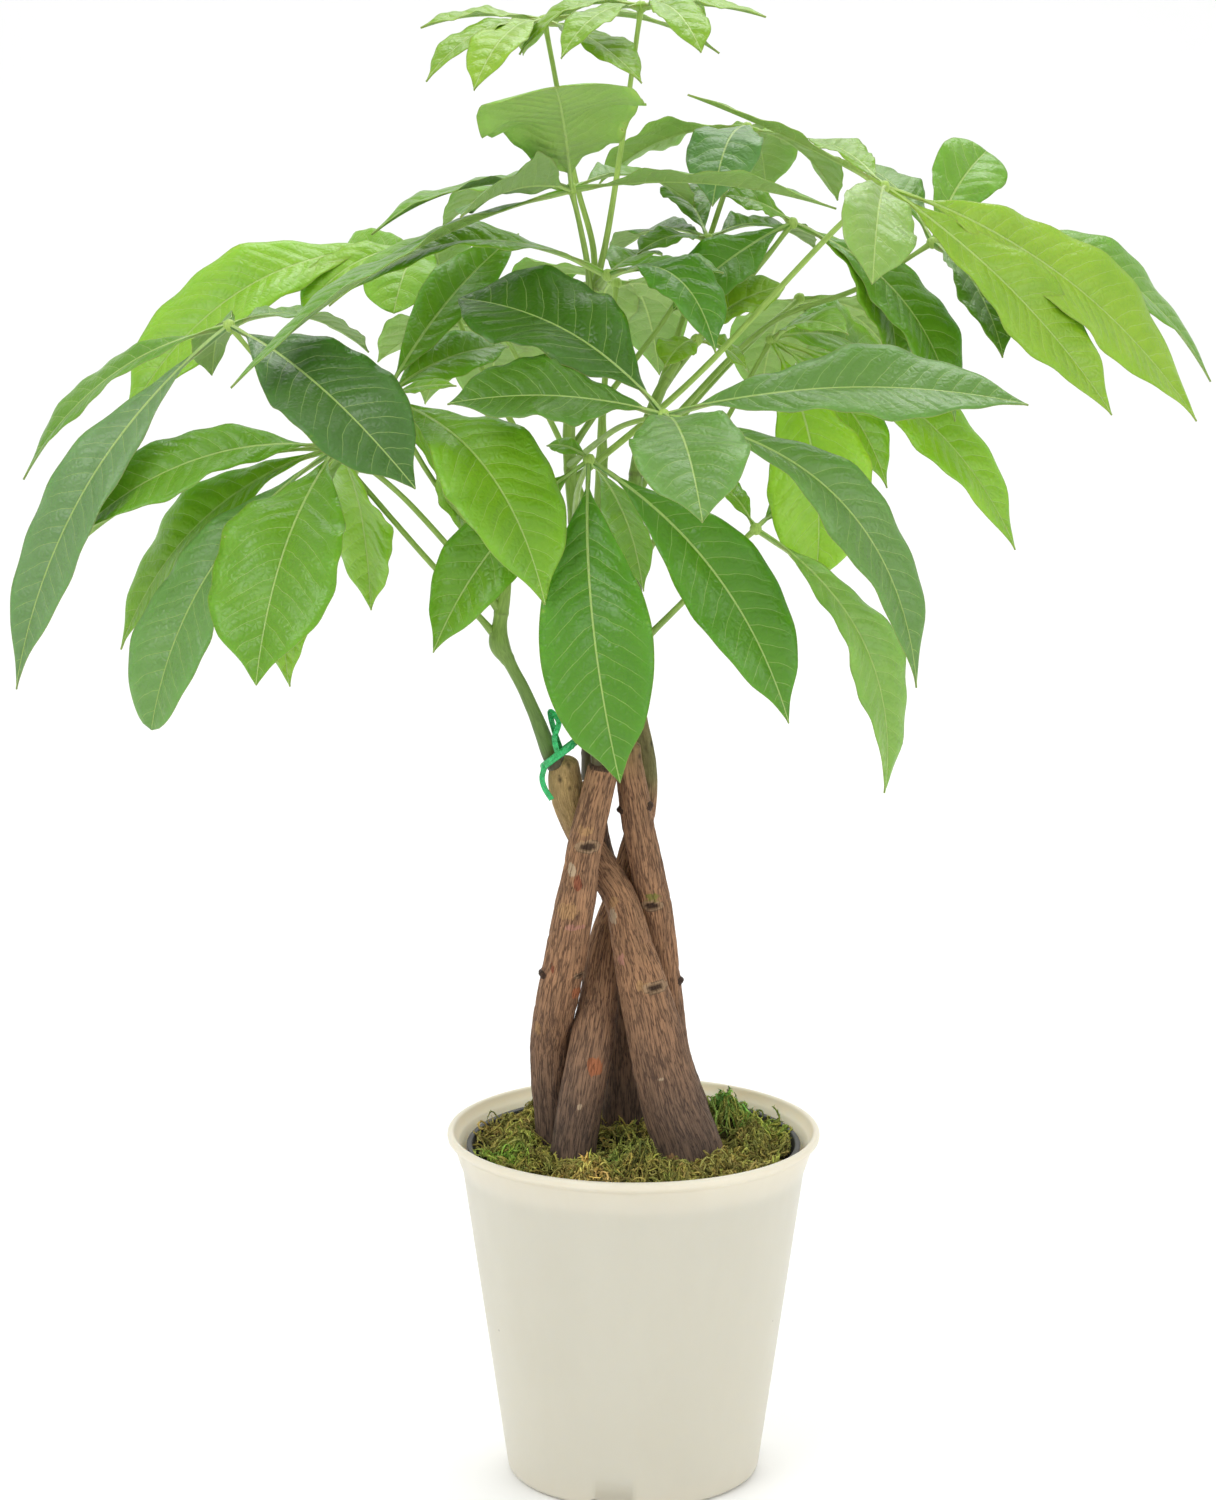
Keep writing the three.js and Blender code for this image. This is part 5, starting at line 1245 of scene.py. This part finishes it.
MOSS_REACH = 51
MOSS_EDGE = 4
MOSS_DEPTH = 5.5
MOSS_MIDDLE = 6  # height over the soil at which the moss keeps clear of the trunks
MAT_ROWS, MAT_COLUMNS = 70, 200
STRAND_STEPS, STRAND_SIDES = 11, 3
LOOSE_SHARE = 0.5  # of the strands lie between the clumps
OVER_RIM_SHARE = 0.4  # of the strands may climb over the grow pot's rim
STRAND_SPREAD = 53  # the loose strands are strewn over this radius
STRAND_ROOTS = 52  # and all start within this one
STRAND_ENDS = 54.6  # most of them end within this radius, on the moss
OVER_RIM = (55, 58.6)  # and the ones that climb over the rim end between these
CLIMB = (49, 55)  # where strands rise to the rim


def moss_reach(angle):
    """How far the moss reaches in a direction."""
    return MOSS_REACH + 1.6 * np.sin(5 * angle) + 1.4 * np.sin(11 * angle + 1)


def moss_top(x, y):
    """Height of the moss's top at places."""
    heap = sum(height * np.exp(-((x - cx) ** 2 + (y - cy) ** 2) / spread ** 2)
               for cx, cy, height, spread in CLUMPS)
    tufts = np.sin(0.55 * x + 1.3) * np.sin(0.6 * y + 0.4)
    part = np.clip(np.hypot(x, y) / moss_reach(np.arctan2(y, x)), 0, 1) ** 6
    return SOIL_TOP + GAP + (MOSS_DEPTH + heap + tufts) * (1 - part) + MOSS_EDGE * part


def moss_tint(x, y, base, chance):
    """The moss's colour at places, with each strand a little different."""
    tint = np.broadcast_to(np.array(base, float), (len(x), 3)).copy()
    for cx, cy, reach, code in MOSS_TINTS:
        part = np.exp(-((x - cx) ** 2 + (y - cy) ** 2) / reach ** 2) * chance.uniform(0.5, 1.1, len(x))
        tint += np.clip(part, 0, 1)[:, None] * (np.array(hue(code)) - tint)
    return tint * chance.uniform(0.8, 2.5, (len(x), 1)) * chance.uniform(0.88, 1.12, (len(x), 3))


def clear_of_trunks(x, y, spare):
    """Places moved out of the trunks that stand in the moss."""
    for rows in TRUNKS.values():
        line, _ = curve(rows, np.linspace(0, 0.4, 60))
        near = line[np.abs(line[:, 2] - (SOIL_TOP + MOSS_MIDDLE)).argmin()]
        dx, dy = x - near[0], y - near[1]
        away = np.maximum(np.hypot(dx, dy), 1e-3)
        push = np.maximum(near[3] + spare - away, 0)
        x, y = x + dx / away * push, y + dy / away * push
    return x, y


class MONEYTREE_OT_moss(bpy.types.Operator):
    """Builds the moss: a heaped mat under thousands of curly strands"""

    bl_idname = "money_tree.moss"
    bl_label = "Moss"

    def execute(self, context):
        moss = context.scene.money_tree_moss
        material = moss_fibre()
        self.mat(moss, material)
        self.strands(moss, material)
        return {"FINISHED"}

    def mat(self, moss, material):
        """The closed mat under the strands."""
        rows, columns = MAT_ROWS, MAT_COLUMNS
        angle = 2 * np.pi * np.arange(columns) / columns
        radius = np.linspace(1, 0.01, rows)[:, None] * moss_reach(angle)
        x, y = radius * np.cos(angle), radius * np.sin(angle)
        flat = np.stack([x, y, np.zeros_like(x)], -1)
        rough = 0.8 * bumps(flat, 0.5) + 0.55 * bumps(flat, 1.3, 5)
        top = moss_top(x, y) - 0.7 + rough * np.linspace(0, 1, rows)[:, None] ** 0.2
        floor = SOIL_TOP + GAP
        under = np.stack([x[0], y[0], np.full(columns, floor)], -1)
        middles = [[0, 0, floor], [0, 0, top[-1].mean()]]
        points = np.vstack([under, np.stack([x, y, top], -1).reshape(-1, 3), middles])
        centre = len(points) - 2
        ring = np.arange(columns)
        faces = [grid_faces(rows + 1, columns, True), fan_faces(centre, ring, True),
                 fan_faces(centre + 1, ring + rows * columns)]
        clay = Clay()
        # The mat's darker colour is painted shade for the gaps between the strands.
        clay.add(points, faces, tint=np.array(moss.deep))
        clay.piece("moss_mat", material, "moss", "moss")

    def strands(self, moss, material):
        """Curly strands over the mat, more of them on the clumps."""
        chance = np.random.default_rng(SEED)
        count, steps, sides = moss.strands, STRAND_STEPS, STRAND_SIDES
        pick = chance.integers(0, len(CLUMPS) - 1, count)
        clumps = np.array(CLUMPS, float)[pick]
        loose = chance.random(count) < LOOSE_SHARE
        radius = STRAND_SPREAD * np.sqrt(chance.random(count))
        angle = chance.uniform(0, 2 * np.pi, count)
        near = [clumps[:, axis] + chance.normal(0, 0.55, count) * clumps[:, 3] for axis in (0, 1)]
        x = np.where(loose, radius * np.cos(angle), near[0])
        y = np.where(loose, radius * np.sin(angle), near[1])
        keep = np.minimum(1, STRAND_ROOTS / np.hypot(x, y))
        x, y = x * keep, y * keep
        tint = moss_tint(x, y, moss.base, chance)
        heading = chance.uniform(0, 2 * np.pi, count)
        bend = chance.normal(0, 0.55, count)
        long = moss.strand_length / MM * chance.uniform(0.35, 1, count) ** 1.3
        rise = chance.uniform(0.4, 3.8, count) * (1 + 0.6 * (chance.random(count) < 0.15))
        over_rim = chance.random(count) < OVER_RIM_SHARE
        limit = np.where(over_rim, chance.uniform(*OVER_RIM, count), STRAND_ENDS)
        lobes = chance.uniform(0.6, 2.2, count)
        tilt = chance.uniform(0, np.pi, count)
        path = []
        for i in range(steps + 1):
            part = i / steps
            cx, cy = clear_of_trunks(x, y, 0.5)
            far = np.maximum(np.hypot(cx, cy), 1e-6)
            keep = np.minimum(1, limit / far)
            cx, cy = cx * keep, cy * keep
            top = moss_top(cx, cy)
            climb = smooth_step(*CLIMB, far * keep) * np.where(over_rim, 1, 0.4)
            top = top + climb * np.maximum(GROW_TOP + 1 - top, 0)
            lift = rise * np.abs(np.sin(np.pi * lobes * part + tilt)) - 0.5 * (1 - climb)
            path.append(np.stack([cx, cy, top + lift], -1))
            heading = heading + bend + chance.normal(0, 0.4, count)
            bend = bend + chance.normal(0, 0.16, count)
            x, y = x + long / steps * np.cos(heading), y + long / steps * np.sin(heading)
        path = np.array(path).transpose(1, 0, 2)
        along = unit(np.gradient(path, axis=1))
        side = unit(np.cross(along, [0.3, 0.2, 1]))
        other = np.cross(along, side)
        turn = 2 * np.pi * np.arange(sides) / sides
        taper = np.sin(np.pi * np.clip(np.linspace(0.06, 0.97, steps + 1), 0, 1)) ** 0.4
        thick = moss.strand_radius / MM * chance.uniform(0.6, 1.25, (count, 1)) * taper
        spokes = side[:, :, None] * np.cos(turn)[:, None] + other[:, :, None] * np.sin(turn)[:, None]
        points = path[:, :, None] + spokes * thick[:, :, None, None]
        one = grid_faces(steps + 1, sides, True)
        each = (steps + 1) * sides
        starts = (np.arange(count) * each)[:, None, None]
        last = steps * sides
        caps = np.array([[2, 1, 0], [last, last + 1, last + 2]])
        clay = Clay()
        clay.add(points, [(one + starts).reshape(-1, 4), (caps + starts).reshape(-1, 3)],
                 tint=np.repeat(tint, each, axis=0))
        self.tiny_leaves(clay, moss, path[:, 1:-1], along[:, 1:-1], tint, chance)
        clay.piece("moss_strands", material, "moss", "moss")

    def tiny_leaves(self, clay, moss, path, along, tint, chance):
        """A tiny pointed leaf at each step of each strand, with four faces."""
        count, steps = path.shape[:2]
        long = moss.leaf_length / MM * chance.uniform(0.5, 1, (count, steps, 1))
        way = unit(0.7 * along + unit(chance.normal(0, 1, path.shape)) + [0, 0, 0.25])
        side = unit(np.cross(way, [0.2, 0.5, 1]))
        up = np.cross(way, side)
        foot = path - 0.2 * way
        points = np.stack([foot + 0.34 * side, foot - 0.34 * side, foot + 0.3 * up, path + long * way], 2)
        one = np.array([[0, 2, 1], [0, 1, 3], [1, 2, 3], [2, 0, 3]])
        starts = (np.arange(count * steps) * 4)[:, None, None]
        shade = tint[:, None] * chance.uniform(0.8, 1.35, (count, steps, 1))
        clay.add(points, [(one + starts).reshape(-1, 3)], tint=np.repeat(shade.reshape(-1, 3), 4, axis=0))


# ---- trunks, shoots and tie ----------------------------------------------------------------------

TRUNK_STEPS = 210
SHOOT_SIDES, SHOOT_STEPS = 28, 130
OLD_BARK = (112, 190)  # the bark is old under the first height and young over the second
BARK_RINGS = (170, 196, 222)  # heights of faint rings, shifted from trunk to trunk
RING_HALF = 0.9
TIE_STEPS, TIE_COLUMNS = 70, 9


def add_marks(stem, name, lift):
    """Paints the marks of a trunk and shapes their scars; gives the colours and amounts."""
    places = stem.surface()
    facing = stem.spokes[..., 1] < 0.15
    tint, amount = np.zeros(places.shape), np.zeros(places.shape[:2])
    for trunk, x, z, width, height, kind in MARKS:
        if trunk != name:
            continue
        away = np.hypot((places[..., 0] - x) * 2 / width, (places[..., 2] - z) * 2 / height)
        away = np.where(facing, away, 9)
        part = 1 - smooth_step(0.35, 1.3, away)
        colours = np.broadcast_to(np.array(hue(MARK_COLOURS[kind])), places.shape)
        if kind == "scar":
            part = 1 - smooth_step(1.1, 1.3, away)
            lift -= 0.5 * (1 - smooth_step(0.2, 0.8, away)) - 0.35 * np.exp(-((away - 1) / 0.22) ** 2)
            rim = smooth_step(0.62, 0.85, away)[..., None]
            colours = colours * (1 - rim) + np.array(hue("#a98b6b")) * rim
        elif kind == "spur":
            part = 1 - smooth_step(0.9, 1.2, away)
            lift += 1.3 * np.exp(-(away * 1.3) ** 2)
        elif kind != "green":
            lift += 0.14 * part
        tint = np.where(part[..., None] > amount[..., None], colours, tint)
        amount = np.maximum(amount, part * (1.2 if kind in ("scar", "spur") else 0.66))
    return tint, amount


class MONEYTREE_OT_trunks(bpy.types.Operator):
    """Builds the five braided trunks with furrowed bark, leaf scars and patches"""

    bl_idname = "money_tree.trunks"
    bl_label = "Trunks"

    def execute(self, context):
        trunks = context.scene.money_tree_trunks
        material = bark_skin(trunks)
        for order, (name, rows) in enumerate(TRUNKS.items()):
            stem = Stem(rows, trunks.sides, TRUNK_STEPS)
            stem.round_off(2.5)
            places, height = stem.grain(), stem.centre[:, 2]
            old = 1 - smooth_step(*OLD_BARK, height)
            ridges = bumps(places * [1, 1, 0.13], 0.62, order * 9)
            ridges += 0.5 * bumps(places * [1, 1, 0.2], 1.4, order)
            lumps = bumps(places * [1, 1, 0.4], 0.12, order * 5)
            lift = trunks.ridge / MM * (0.7 + 0.8 * old[:, None]) * ridges + 0.42 * lumps
            for ring in BARK_RINGS:
                off = (height - ring - 11 * order % 23) / RING_HALF
                lift -= 0.2 * np.exp(-off ** 2)[:, None]
            tint, amount = add_marks(stem, name, lift)
            low, high, top = GREEN_TOPS.get(name, NO_GREEN_TOP)
            green = smooth_step(low, high, height)[:, None] * (1 + 0.25 * lumps)
            # Painted shade: the back trunk, which stands in the shade of the others, takes at least 0.6 of
            # the darker, greyer foot bark all the way up.
            if name == "trunk_back":
                old = np.maximum(old, 0.6)
            clay = Clay()
            stem.add_to(clay, lift, grain=places, old=old, green=np.clip(green, 0, 1),
                        top=np.array(hue(top)), mark=tint, mark_amount=amount)
            clay.piece("bark_" + name, material, "bark", name)
        return {"FINISHED"}


class MONEYTREE_OT_shoots(bpy.types.Operator):
    """Builds the green shoots that grow on from the trunks, with nodes and bract scars"""

    bl_idname = "money_tree.shoots"
    bl_label = "Shoots"
    node_gap: length("Node gap", "Distance between the nodes of a shoot", 17)

    def execute(self, context):
        trunks = context.scene.money_tree_trunks
        material = green_stem(trunks)
        for order, (name, rows) in enumerate(SHOOTS.items()):
            fresh, brown, ringed_from = SHOOT_AGES[name]
            stem = Stem(rows, SHOOT_SIDES, SHOOT_STEPS)
            stem.round_off(0.8)
            places, part = stem.grain(), stem.run / stem.run[-1]
            phase = (stem.run / (self.node_gap / MM) + 0.3 * order) % 1
            ring = np.exp(-((phase - 0.5) / 0.05) ** 2)
            ring *= smooth_step(ringed_from - 4, ringed_from + 4, stem.centre[:, 2])
            lift = 0.22 * ring[:, None] + 0.12 * bumps(places * [1, 1, 0.3], 0.5, order)
            foot = np.exp(-(stem.run / 7) ** 2)
            clay = Clay()
            stem.add_to(clay, lift, grain=places,
                        brown=np.clip(brown * (1 - part) + 0.3 * ring + 0.7 * foot, 0, 1),
                        fresh=np.clip(fresh + 0.75 * part ** 1.5, 0, 1))
            clay.piece("green_" + name, material, "green_stem", name)
        return {"FINISHED"}


class MONEYTREE_OT_tie(bpy.types.Operator):
    """Builds the shiny foil tie: a band in two halves, a loop and a loose tail"""

    bl_idname = "money_tree.tie"
    bl_label = "Foil Tie"

    def execute(self, context):
        tie = context.scene.money_tree_tie
        clay = Clay()
        for order, rows in enumerate((TIE_FRONT, TIE_REAR, TIE_LOOP, TIE_TAIL)):
            is_band = order < 2
            width = (tie.width if is_band else tie.loose_width) / MM
            self.ribbon(clay, rows, width, is_band, tie.thickness / MM, order)
        clay.piece("foil_ribbon", green_foil(tie), "green_foil", "foil_tie")
        return {"FINISHED"}

    def ribbon(self, clay, rows, width, is_band, thickness, order):
        """A crinkled ribbon along a curve, facing out from the trunk or to the front."""
        rows_across, columns = TIE_STEPS + 1, TIE_COLUMNS
        line, along = curve(rows, np.linspace(0, 1, rows_across))
        face = (line - TIE_MIDDLE) * [1, 1, 0] if is_band else np.broadcast_to([0.0, -1, 0], line.shape)
        face = unit(face - (face * along).sum(1)[:, None] * along)
        across = np.cross(along, face)
        place = np.linspace(-0.5, 0.5, columns)
        centre = line[:, None] + across[:, None] * (place * width)[None, :, None]
        crinkle = 0.32 * bumps(centre, 0.9, order) + 0.16 * bumps(centre, 2.2, order + 3)
        edge = np.where(np.abs(place) > 0.49, 0.3, 1.0)
        layers = [centre + face[:, None] * (crinkle + level * thickness * edge)[..., None]
                  for level in (0.5, -0.5)]
        flat, rim = grid_faces(rows_across, columns), rim_faces(rows_across, columns)
        clay.add(layers, [flat[:, ::-1], flat + rows_across * columns, rim[:, [0, 3, 2, 1]]])


# ---- leaves --------------------------------------------------------------------------------------

def half_width(along, width, bluntness):
    """Half the width of a leaflet at shares of its length from the hub."""
    blade = np.clip((along - STALK_PART) / (1 - STALK_PART), 0, 1)
    base = np.interp(bluntness, [0, 1], BASE_POWERS)
    tip = np.interp(bluntness, [0, 1], TIP_POWERS)
    widest = base / (base + tip)
    peak = widest ** base * (1 - widest) ** tip
    outline = blade ** base * (1 - blade) ** tip / peak
    outline = outline * (1 - 0.3 * smooth_step(0.84, 0.95, blade) * smooth_step(1, 0.3, bluntness))
    least = STALK_HALF + (TIP_HALF - STALK_HALF) * blade ** 0.6
    return np.where(along <= STALK_PART, STALK_HALF, np.maximum(width / 2 * outline, least))


def rotated(vector, axis, degrees):
    """A vector turned about an axis."""
    angle = math.radians(degrees)
    return (vector * math.cos(angle) + np.cross(axis, vector) * math.sin(angle)
            + axis * axis.dot(vector) * (1 - math.cos(angle)))


def leaflet_course(hub, face, tip, arch, sway, twist, rows):
    """A leaflet's midline: shares of it, its length, places, and the ways to the side and up."""
    root, tip = np.array(hub, float), np.array(tip, float)
    chord = tip - root
    span = np.linalg.norm(chord)
    chord = chord / span
    lift = unit(np.array([0, 0, 1.0]) - chord * chord[2])
    across = unit(np.cross(chord, face))
    bend = (root + tip) / 2 + 2 * arch * span * lift + 2 * sway * across
    across = rotated(across, chord, twist)
    stalk = np.linspace(0, STALK_PART, 5)[:-1]
    blade = np.linspace(0, 1, rows + 1)
    part = np.concatenate([stalk, STALK_PART + (1 - STALK_PART) * (1 - (1 - blade) ** 1.15)])[:, None]
    centre = (1 - part) ** 2 * root + 2 * part * (1 - part) * bend + part ** 2 * tip
    along = unit(2 * (1 - part) * (bend - root) + 2 * part * (tip - bend))
    side = unit(across - (along * across).sum(1)[:, None] * along)
    return part[:, 0], span, centre, side, np.cross(side, along)


def add_leaflet(clay, leaf, order, seed, leaves):
    """Adds one leaflet of a leaf: a thin blade, folded at its midrib, arched, waved at its edges."""
    x, y, z, width, arch, *rest = leaf["leaflets"][order]
    twist, bluntness, sway, fold = [*rest, *(0, 0, 0, leaves.fold)[len(rest):]]
    part, span, centre, side, up = leaflet_course(leaf["hub"], leaf["face"], [x, y, z], arch, sway,
                                                  twist, leaves.rows)
    half = half_width(part, width, bluntness)

    rib = np.minimum(RIB_HALF, half / 4)
    outer = np.linspace(0, 1, SIDE_COLUMNS + 1)[1:]
    columns = np.stack([np.zeros_like(half), rib, 2 * rib,
                        *[2 * rib + (half - 2 * rib) * place for place in outer]], -1)
    off = np.concatenate([-columns[:, :0:-1], columns], 1)
    over = off / half[:, None]
    out = np.abs(over)
    swell = np.sin(np.pi * part)[:, None] * width
    turn = 2 * np.pi * WAVES * part[:, None] + 1.7 * order + 0.9 * over
    wave = leaves.wave * swell * np.sin(turn)
    wave += 0.018 * swell * np.sin(3.1 * turn + seed) * out ** 2
    ragged = np.sin(5 * part[:, None] + np.sign(over) * 1.3 + seed)
    uneven = 1 + 0.03 * ragged * smooth_step(0.2, 0.5, out)
    height = out * (fold * half[:, None] + wave)
    height += 0.05 * half[:, None] * np.sin(np.pi * out)
    places = np.stack([part[:, None] * span * 0.05 + over * 0, over * width * 0.05, over * 0 + seed], -1)
    height += 0.03 * swell * bumps(places, 1.0) * smooth_step(0.05, 0.4, out)
    middle = centre[:, None] + side[:, None] * (off * uneven)[..., None] + up[:, None] * height[..., None]

    on_stalk = 1 - smooth_step(STALK_PART * 0.7, STALK_PART * 1.6, part)[:, None]
    thick = leaves.thickness / MM * (1 - 0.72 * out ** 3)
    round_stalk = 1.5 * np.sqrt(np.maximum(1 - out ** 2, 0.02))
    thick = thick + (round_stalk - thick) * on_stalk
    ridge = (0.75 - 0.55 * part[:, None]) * np.exp(-(off / 0.55) ** 2)
    top = middle + up[:, None] * (thick / 2)[..., None]
    under = middle - up[:, None] * (thick / 2 + ridge)[..., None]

    flat = grid_faces(*off.shape)
    phase = (part[:, None] * span - 0.5 * np.abs(off) * (1 + 0.7 * out)) / (leaves.vein_gap / MM)
    both = {"across": over, "along": part[:, None], "half": half[:, None], "vein": phase + seed}
    values = {key: np.tile(np.broadcast_to(value, off.shape).ravel(), 2) for key, value in both.items()}
    # The tone is partly painted light, and the grey mix on some leaflets a painted sheen.
    clay.add([top, under], [flat, flat[:, ::-1] + off.size, rim_faces(*off.shape)],
             tone=leaf["tones"][order], dull=leaf.get("dull", {}).get(order, 0),
             under=np.repeat([0.0, 1.0], off.size), **values)


class MONEYTREE_OT_leaves(bpy.types.Operator):
    """Builds the compound leaves, each a petiole with a fan of leaflets"""

    bl_idname = "money_tree.leaves"
    bl_label = "Leaves"

    def execute(self, context):
        leaves, trunks = context.scene.money_tree_leaves, context.scene.money_tree_trunks
        tones = {
            "dark_leaf": (leaves.dark_deep, leaves.dark_light),
            "leaf": (leaves.leaf_deep, leaves.leaf_light),
            "young_leaf": (leaves.young_deep, leaves.young_light),
        }
        skins = {kind: leaf_skin(kind.replace("_", " "), tuple(deep), tuple(light), leaves)
                 for kind, (deep, light) in tones.items()}
        stem_skin = green_stem(trunks)
        chance = np.random.default_rng(SEED)
        for name, leaf in LEAVES.items():
            clay = Clay()
            for order in range(len(leaf["leaflets"])):
                add_leaflet(clay, leaf, order, chance.uniform(0, 9), leaves)
            kind = LEAF_KINDS.get(name, "leaf")
            clay.piece(name + "_blades", skins[kind], kind, name)
            self.petiole(name, leaf, stem_skin, kind == "young_leaf")
        return {"FINISHED"}

    def petiole(self, name, leaf, material, is_young):
        """The leaf's stem, thicker at both ends, and the knob where its leaflets meet."""
        places = [*leaf["stem"], leaf["hub"]]
        radii = np.linspace(PETIOLE_FOOT, PETIOLE_TOP, len(places))
        rows = [[*place, radius] for place, radius in zip(places, radii)]
        stem = Stem(rows, PETIOLE_SIDES, PETIOLE_STEPS)
        left = stem.run[-1] - stem.run
        collar = 0.55 * np.exp(-(stem.run / 5) ** 2) + 0.35 * np.exp(-(left / 4) ** 2)
        grain = stem.grain()
        lift = collar[:, None] + 0.05 * bumps(grain * [1, 1, 0.3], 0.7)
        clay = Clay()
        young = 1.0 if is_young else 0.8
        stem.add_to(clay, lift, grain=grain, brown=0.35 * np.exp(-(stem.run / 4) ** 2),
                    fresh=np.clip(young - 0.3 * np.exp(-(stem.run / 15) ** 2), 0, 1))
        knob, sides = ball(3)
        shape = knob * (HUB_RADIUS - 0.1 + 0.25 * bumps(knob, 1.5))[:, None] + leaf["hub"]
        clay.add(shape, [sides], grain=knob * HUB_RADIUS, brown=0.05, fresh=1.0)
        clay.piece(name + "_petiole", material, "green_stem", name)


# ---- stage, in metres ----------------------------------------------------------------------------

# The lights: [name, place, size, power].
LIGHTS = [
    ["key", (-1.3, -1.5, 1.9), 1.5, 21], ["fill", (1.7, -1.2, 1.0), 1.4, 10],
    ["top", (0.2, 0.9, 1.9), 1.6, 17],
]
PLANT_MIDDLE = 0.28  # height that the lights look at
SKY_TINT = (0.97, 0.98, 1, 1)
FLOOR_FRONT, FLOOR_BACK = -3.2, 1.6
WALL_BEND = 1  # radius between the floor and the wall
WALL_TOP = 3.4
FLOOR_HALF = 4  # half its width


class MONEYTREE_OT_stage(bpy.types.Operator):
    """Sets up the camera, the floor with its backdrop, and the studio lights"""

    bl_idname = "money_tree.stage"
    bl_label = "Stage"

    def execute(self, context):
        stage = context.scene.money_tree_stage
        self.backdrop(context, stage)
        self.camera(context, stage)
        for light in LIGHTS:
            self.light(context, *light)
        world = bpy.data.worlds.new("studio")
        world.use_nodes = True
        back = world.node_tree.nodes["Background"].inputs
        back["Color"].default_value = SKY_TINT
        back["Strength"].default_value = stage.sky
        context.scene.world = world
        context.scene.view_settings.view_transform = "Standard"
        return {"FINISHED"}

    def backdrop(self, context, stage):
        """A floor that curves up into a wall behind the plant."""
        bend = [[FLOOR_BACK + WALL_BEND * math.sin(a), WALL_BEND * (1 - math.cos(a))]
                for a in np.linspace(0, math.pi / 2, 24)]
        line = [[FLOOR_FRONT, 0], *bend, [FLOOR_BACK + WALL_BEND, WALL_TOP]]
        across = np.linspace(-FLOOR_HALF, FLOOR_HALF, 9)
        points = [(x, y, z) for y, z in line for x in across]
        mesh = bpy.data.meshes.new("backdrop")
        mesh.from_pydata(points, [], grid_faces(len(line), len(across)).tolist())
        mesh.flip_normals()
        mesh.shade_smooth()
        mesh.materials.append(floor_paper(stage))
        floor = bpy.data.objects.new("backdrop", mesh)
        context.scene.collection.objects.link(floor)

    def camera(self, context, stage):
        """The camera where the photo was taken from."""
        data = bpy.data.cameras.new("camera")
        data.sensor_fit, data.sensor_height, data.sensor_width = "VERTICAL", 24, 36
        data.lens, data.clip_start, data.clip_end = stage.lens, 0.05, 30
        camera = bpy.data.objects.new("camera", data)
        camera.location = (stage.camera_side, -stage.camera_back, stage.camera_height)
        camera.rotation_euler = (math.pi / 2 - stage.camera_tilt, 0, 0)
        context.scene.collection.objects.link(camera)
        context.scene.camera = camera

    def light(self, context, name, place, size, power):
        """A large soft light that looks at the plant's middle."""
        data = bpy.data.lights.new(name, "AREA")
        data.shape, data.size, data.energy = "DISK", size, power
        light = bpy.data.objects.new(name, data)
        light.location = place
        aim = unit(np.array([0, 0, PLANT_MIDDLE]) - place)
        pitch, turn = math.acos(-aim[2]), math.atan2(-aim[0], aim[1])
        light.rotation_euler = (pitch, 0, turn)
        context.scene.collection.objects.link(light)


# ---- panel and registration ----------------------------------------------------------------------

OPERATORS = (MONEYTREE_OT_outer_pot, MONEYTREE_OT_grow_pot, MONEYTREE_OT_soil, MONEYTREE_OT_moss,
             MONEYTREE_OT_trunks, MONEYTREE_OT_shoots, MONEYTREE_OT_tie, MONEYTREE_OT_leaves,
             MONEYTREE_OT_stage)


class MONEYTREE_PT_panel(bpy.types.Panel):
    """Lists the steps that build the money tree, and its settings"""

    bl_idname = "MONEYTREE_PT_panel"
    bl_label = "Potted Money Tree"
    bl_space_type = "VIEW_3D"
    bl_region_type = "UI"
    bl_category = "Money Tree"

    def draw(self, context):
        for operator in OPERATORS:
            self.layout.operator(operator.bl_idname)
        for key, group in SETTINGS.items():
            box = self.layout.box()
            for setting in group.__annotations__:
                box.prop(getattr(context.scene, key), setting)


CLASSES = (*SETTINGS.values(), *OPERATORS, MONEYTREE_PT_panel)


def register():
    """Adds the classes, and the settings to the scene."""
    for one in CLASSES:
        bpy.utils.register_class(one)
    for key, group in SETTINGS.items():
        setattr(bpy.types.Scene, key, PointerProperty(type=group))


def unregister():
    """Takes the settings and the classes away."""
    for key in SETTINGS:
        delattr(bpy.types.Scene, key)
    for one in reversed(CLASSES):
        bpy.utils.unregister_class(one)


def main():
    """Builds the whole scene."""
    register()
    for operator in OPERATORS:
        group, name = operator.bl_idname.split(".")
        getattr(getattr(bpy.ops, group), name)()


if __name__ == "__main__":
    main()
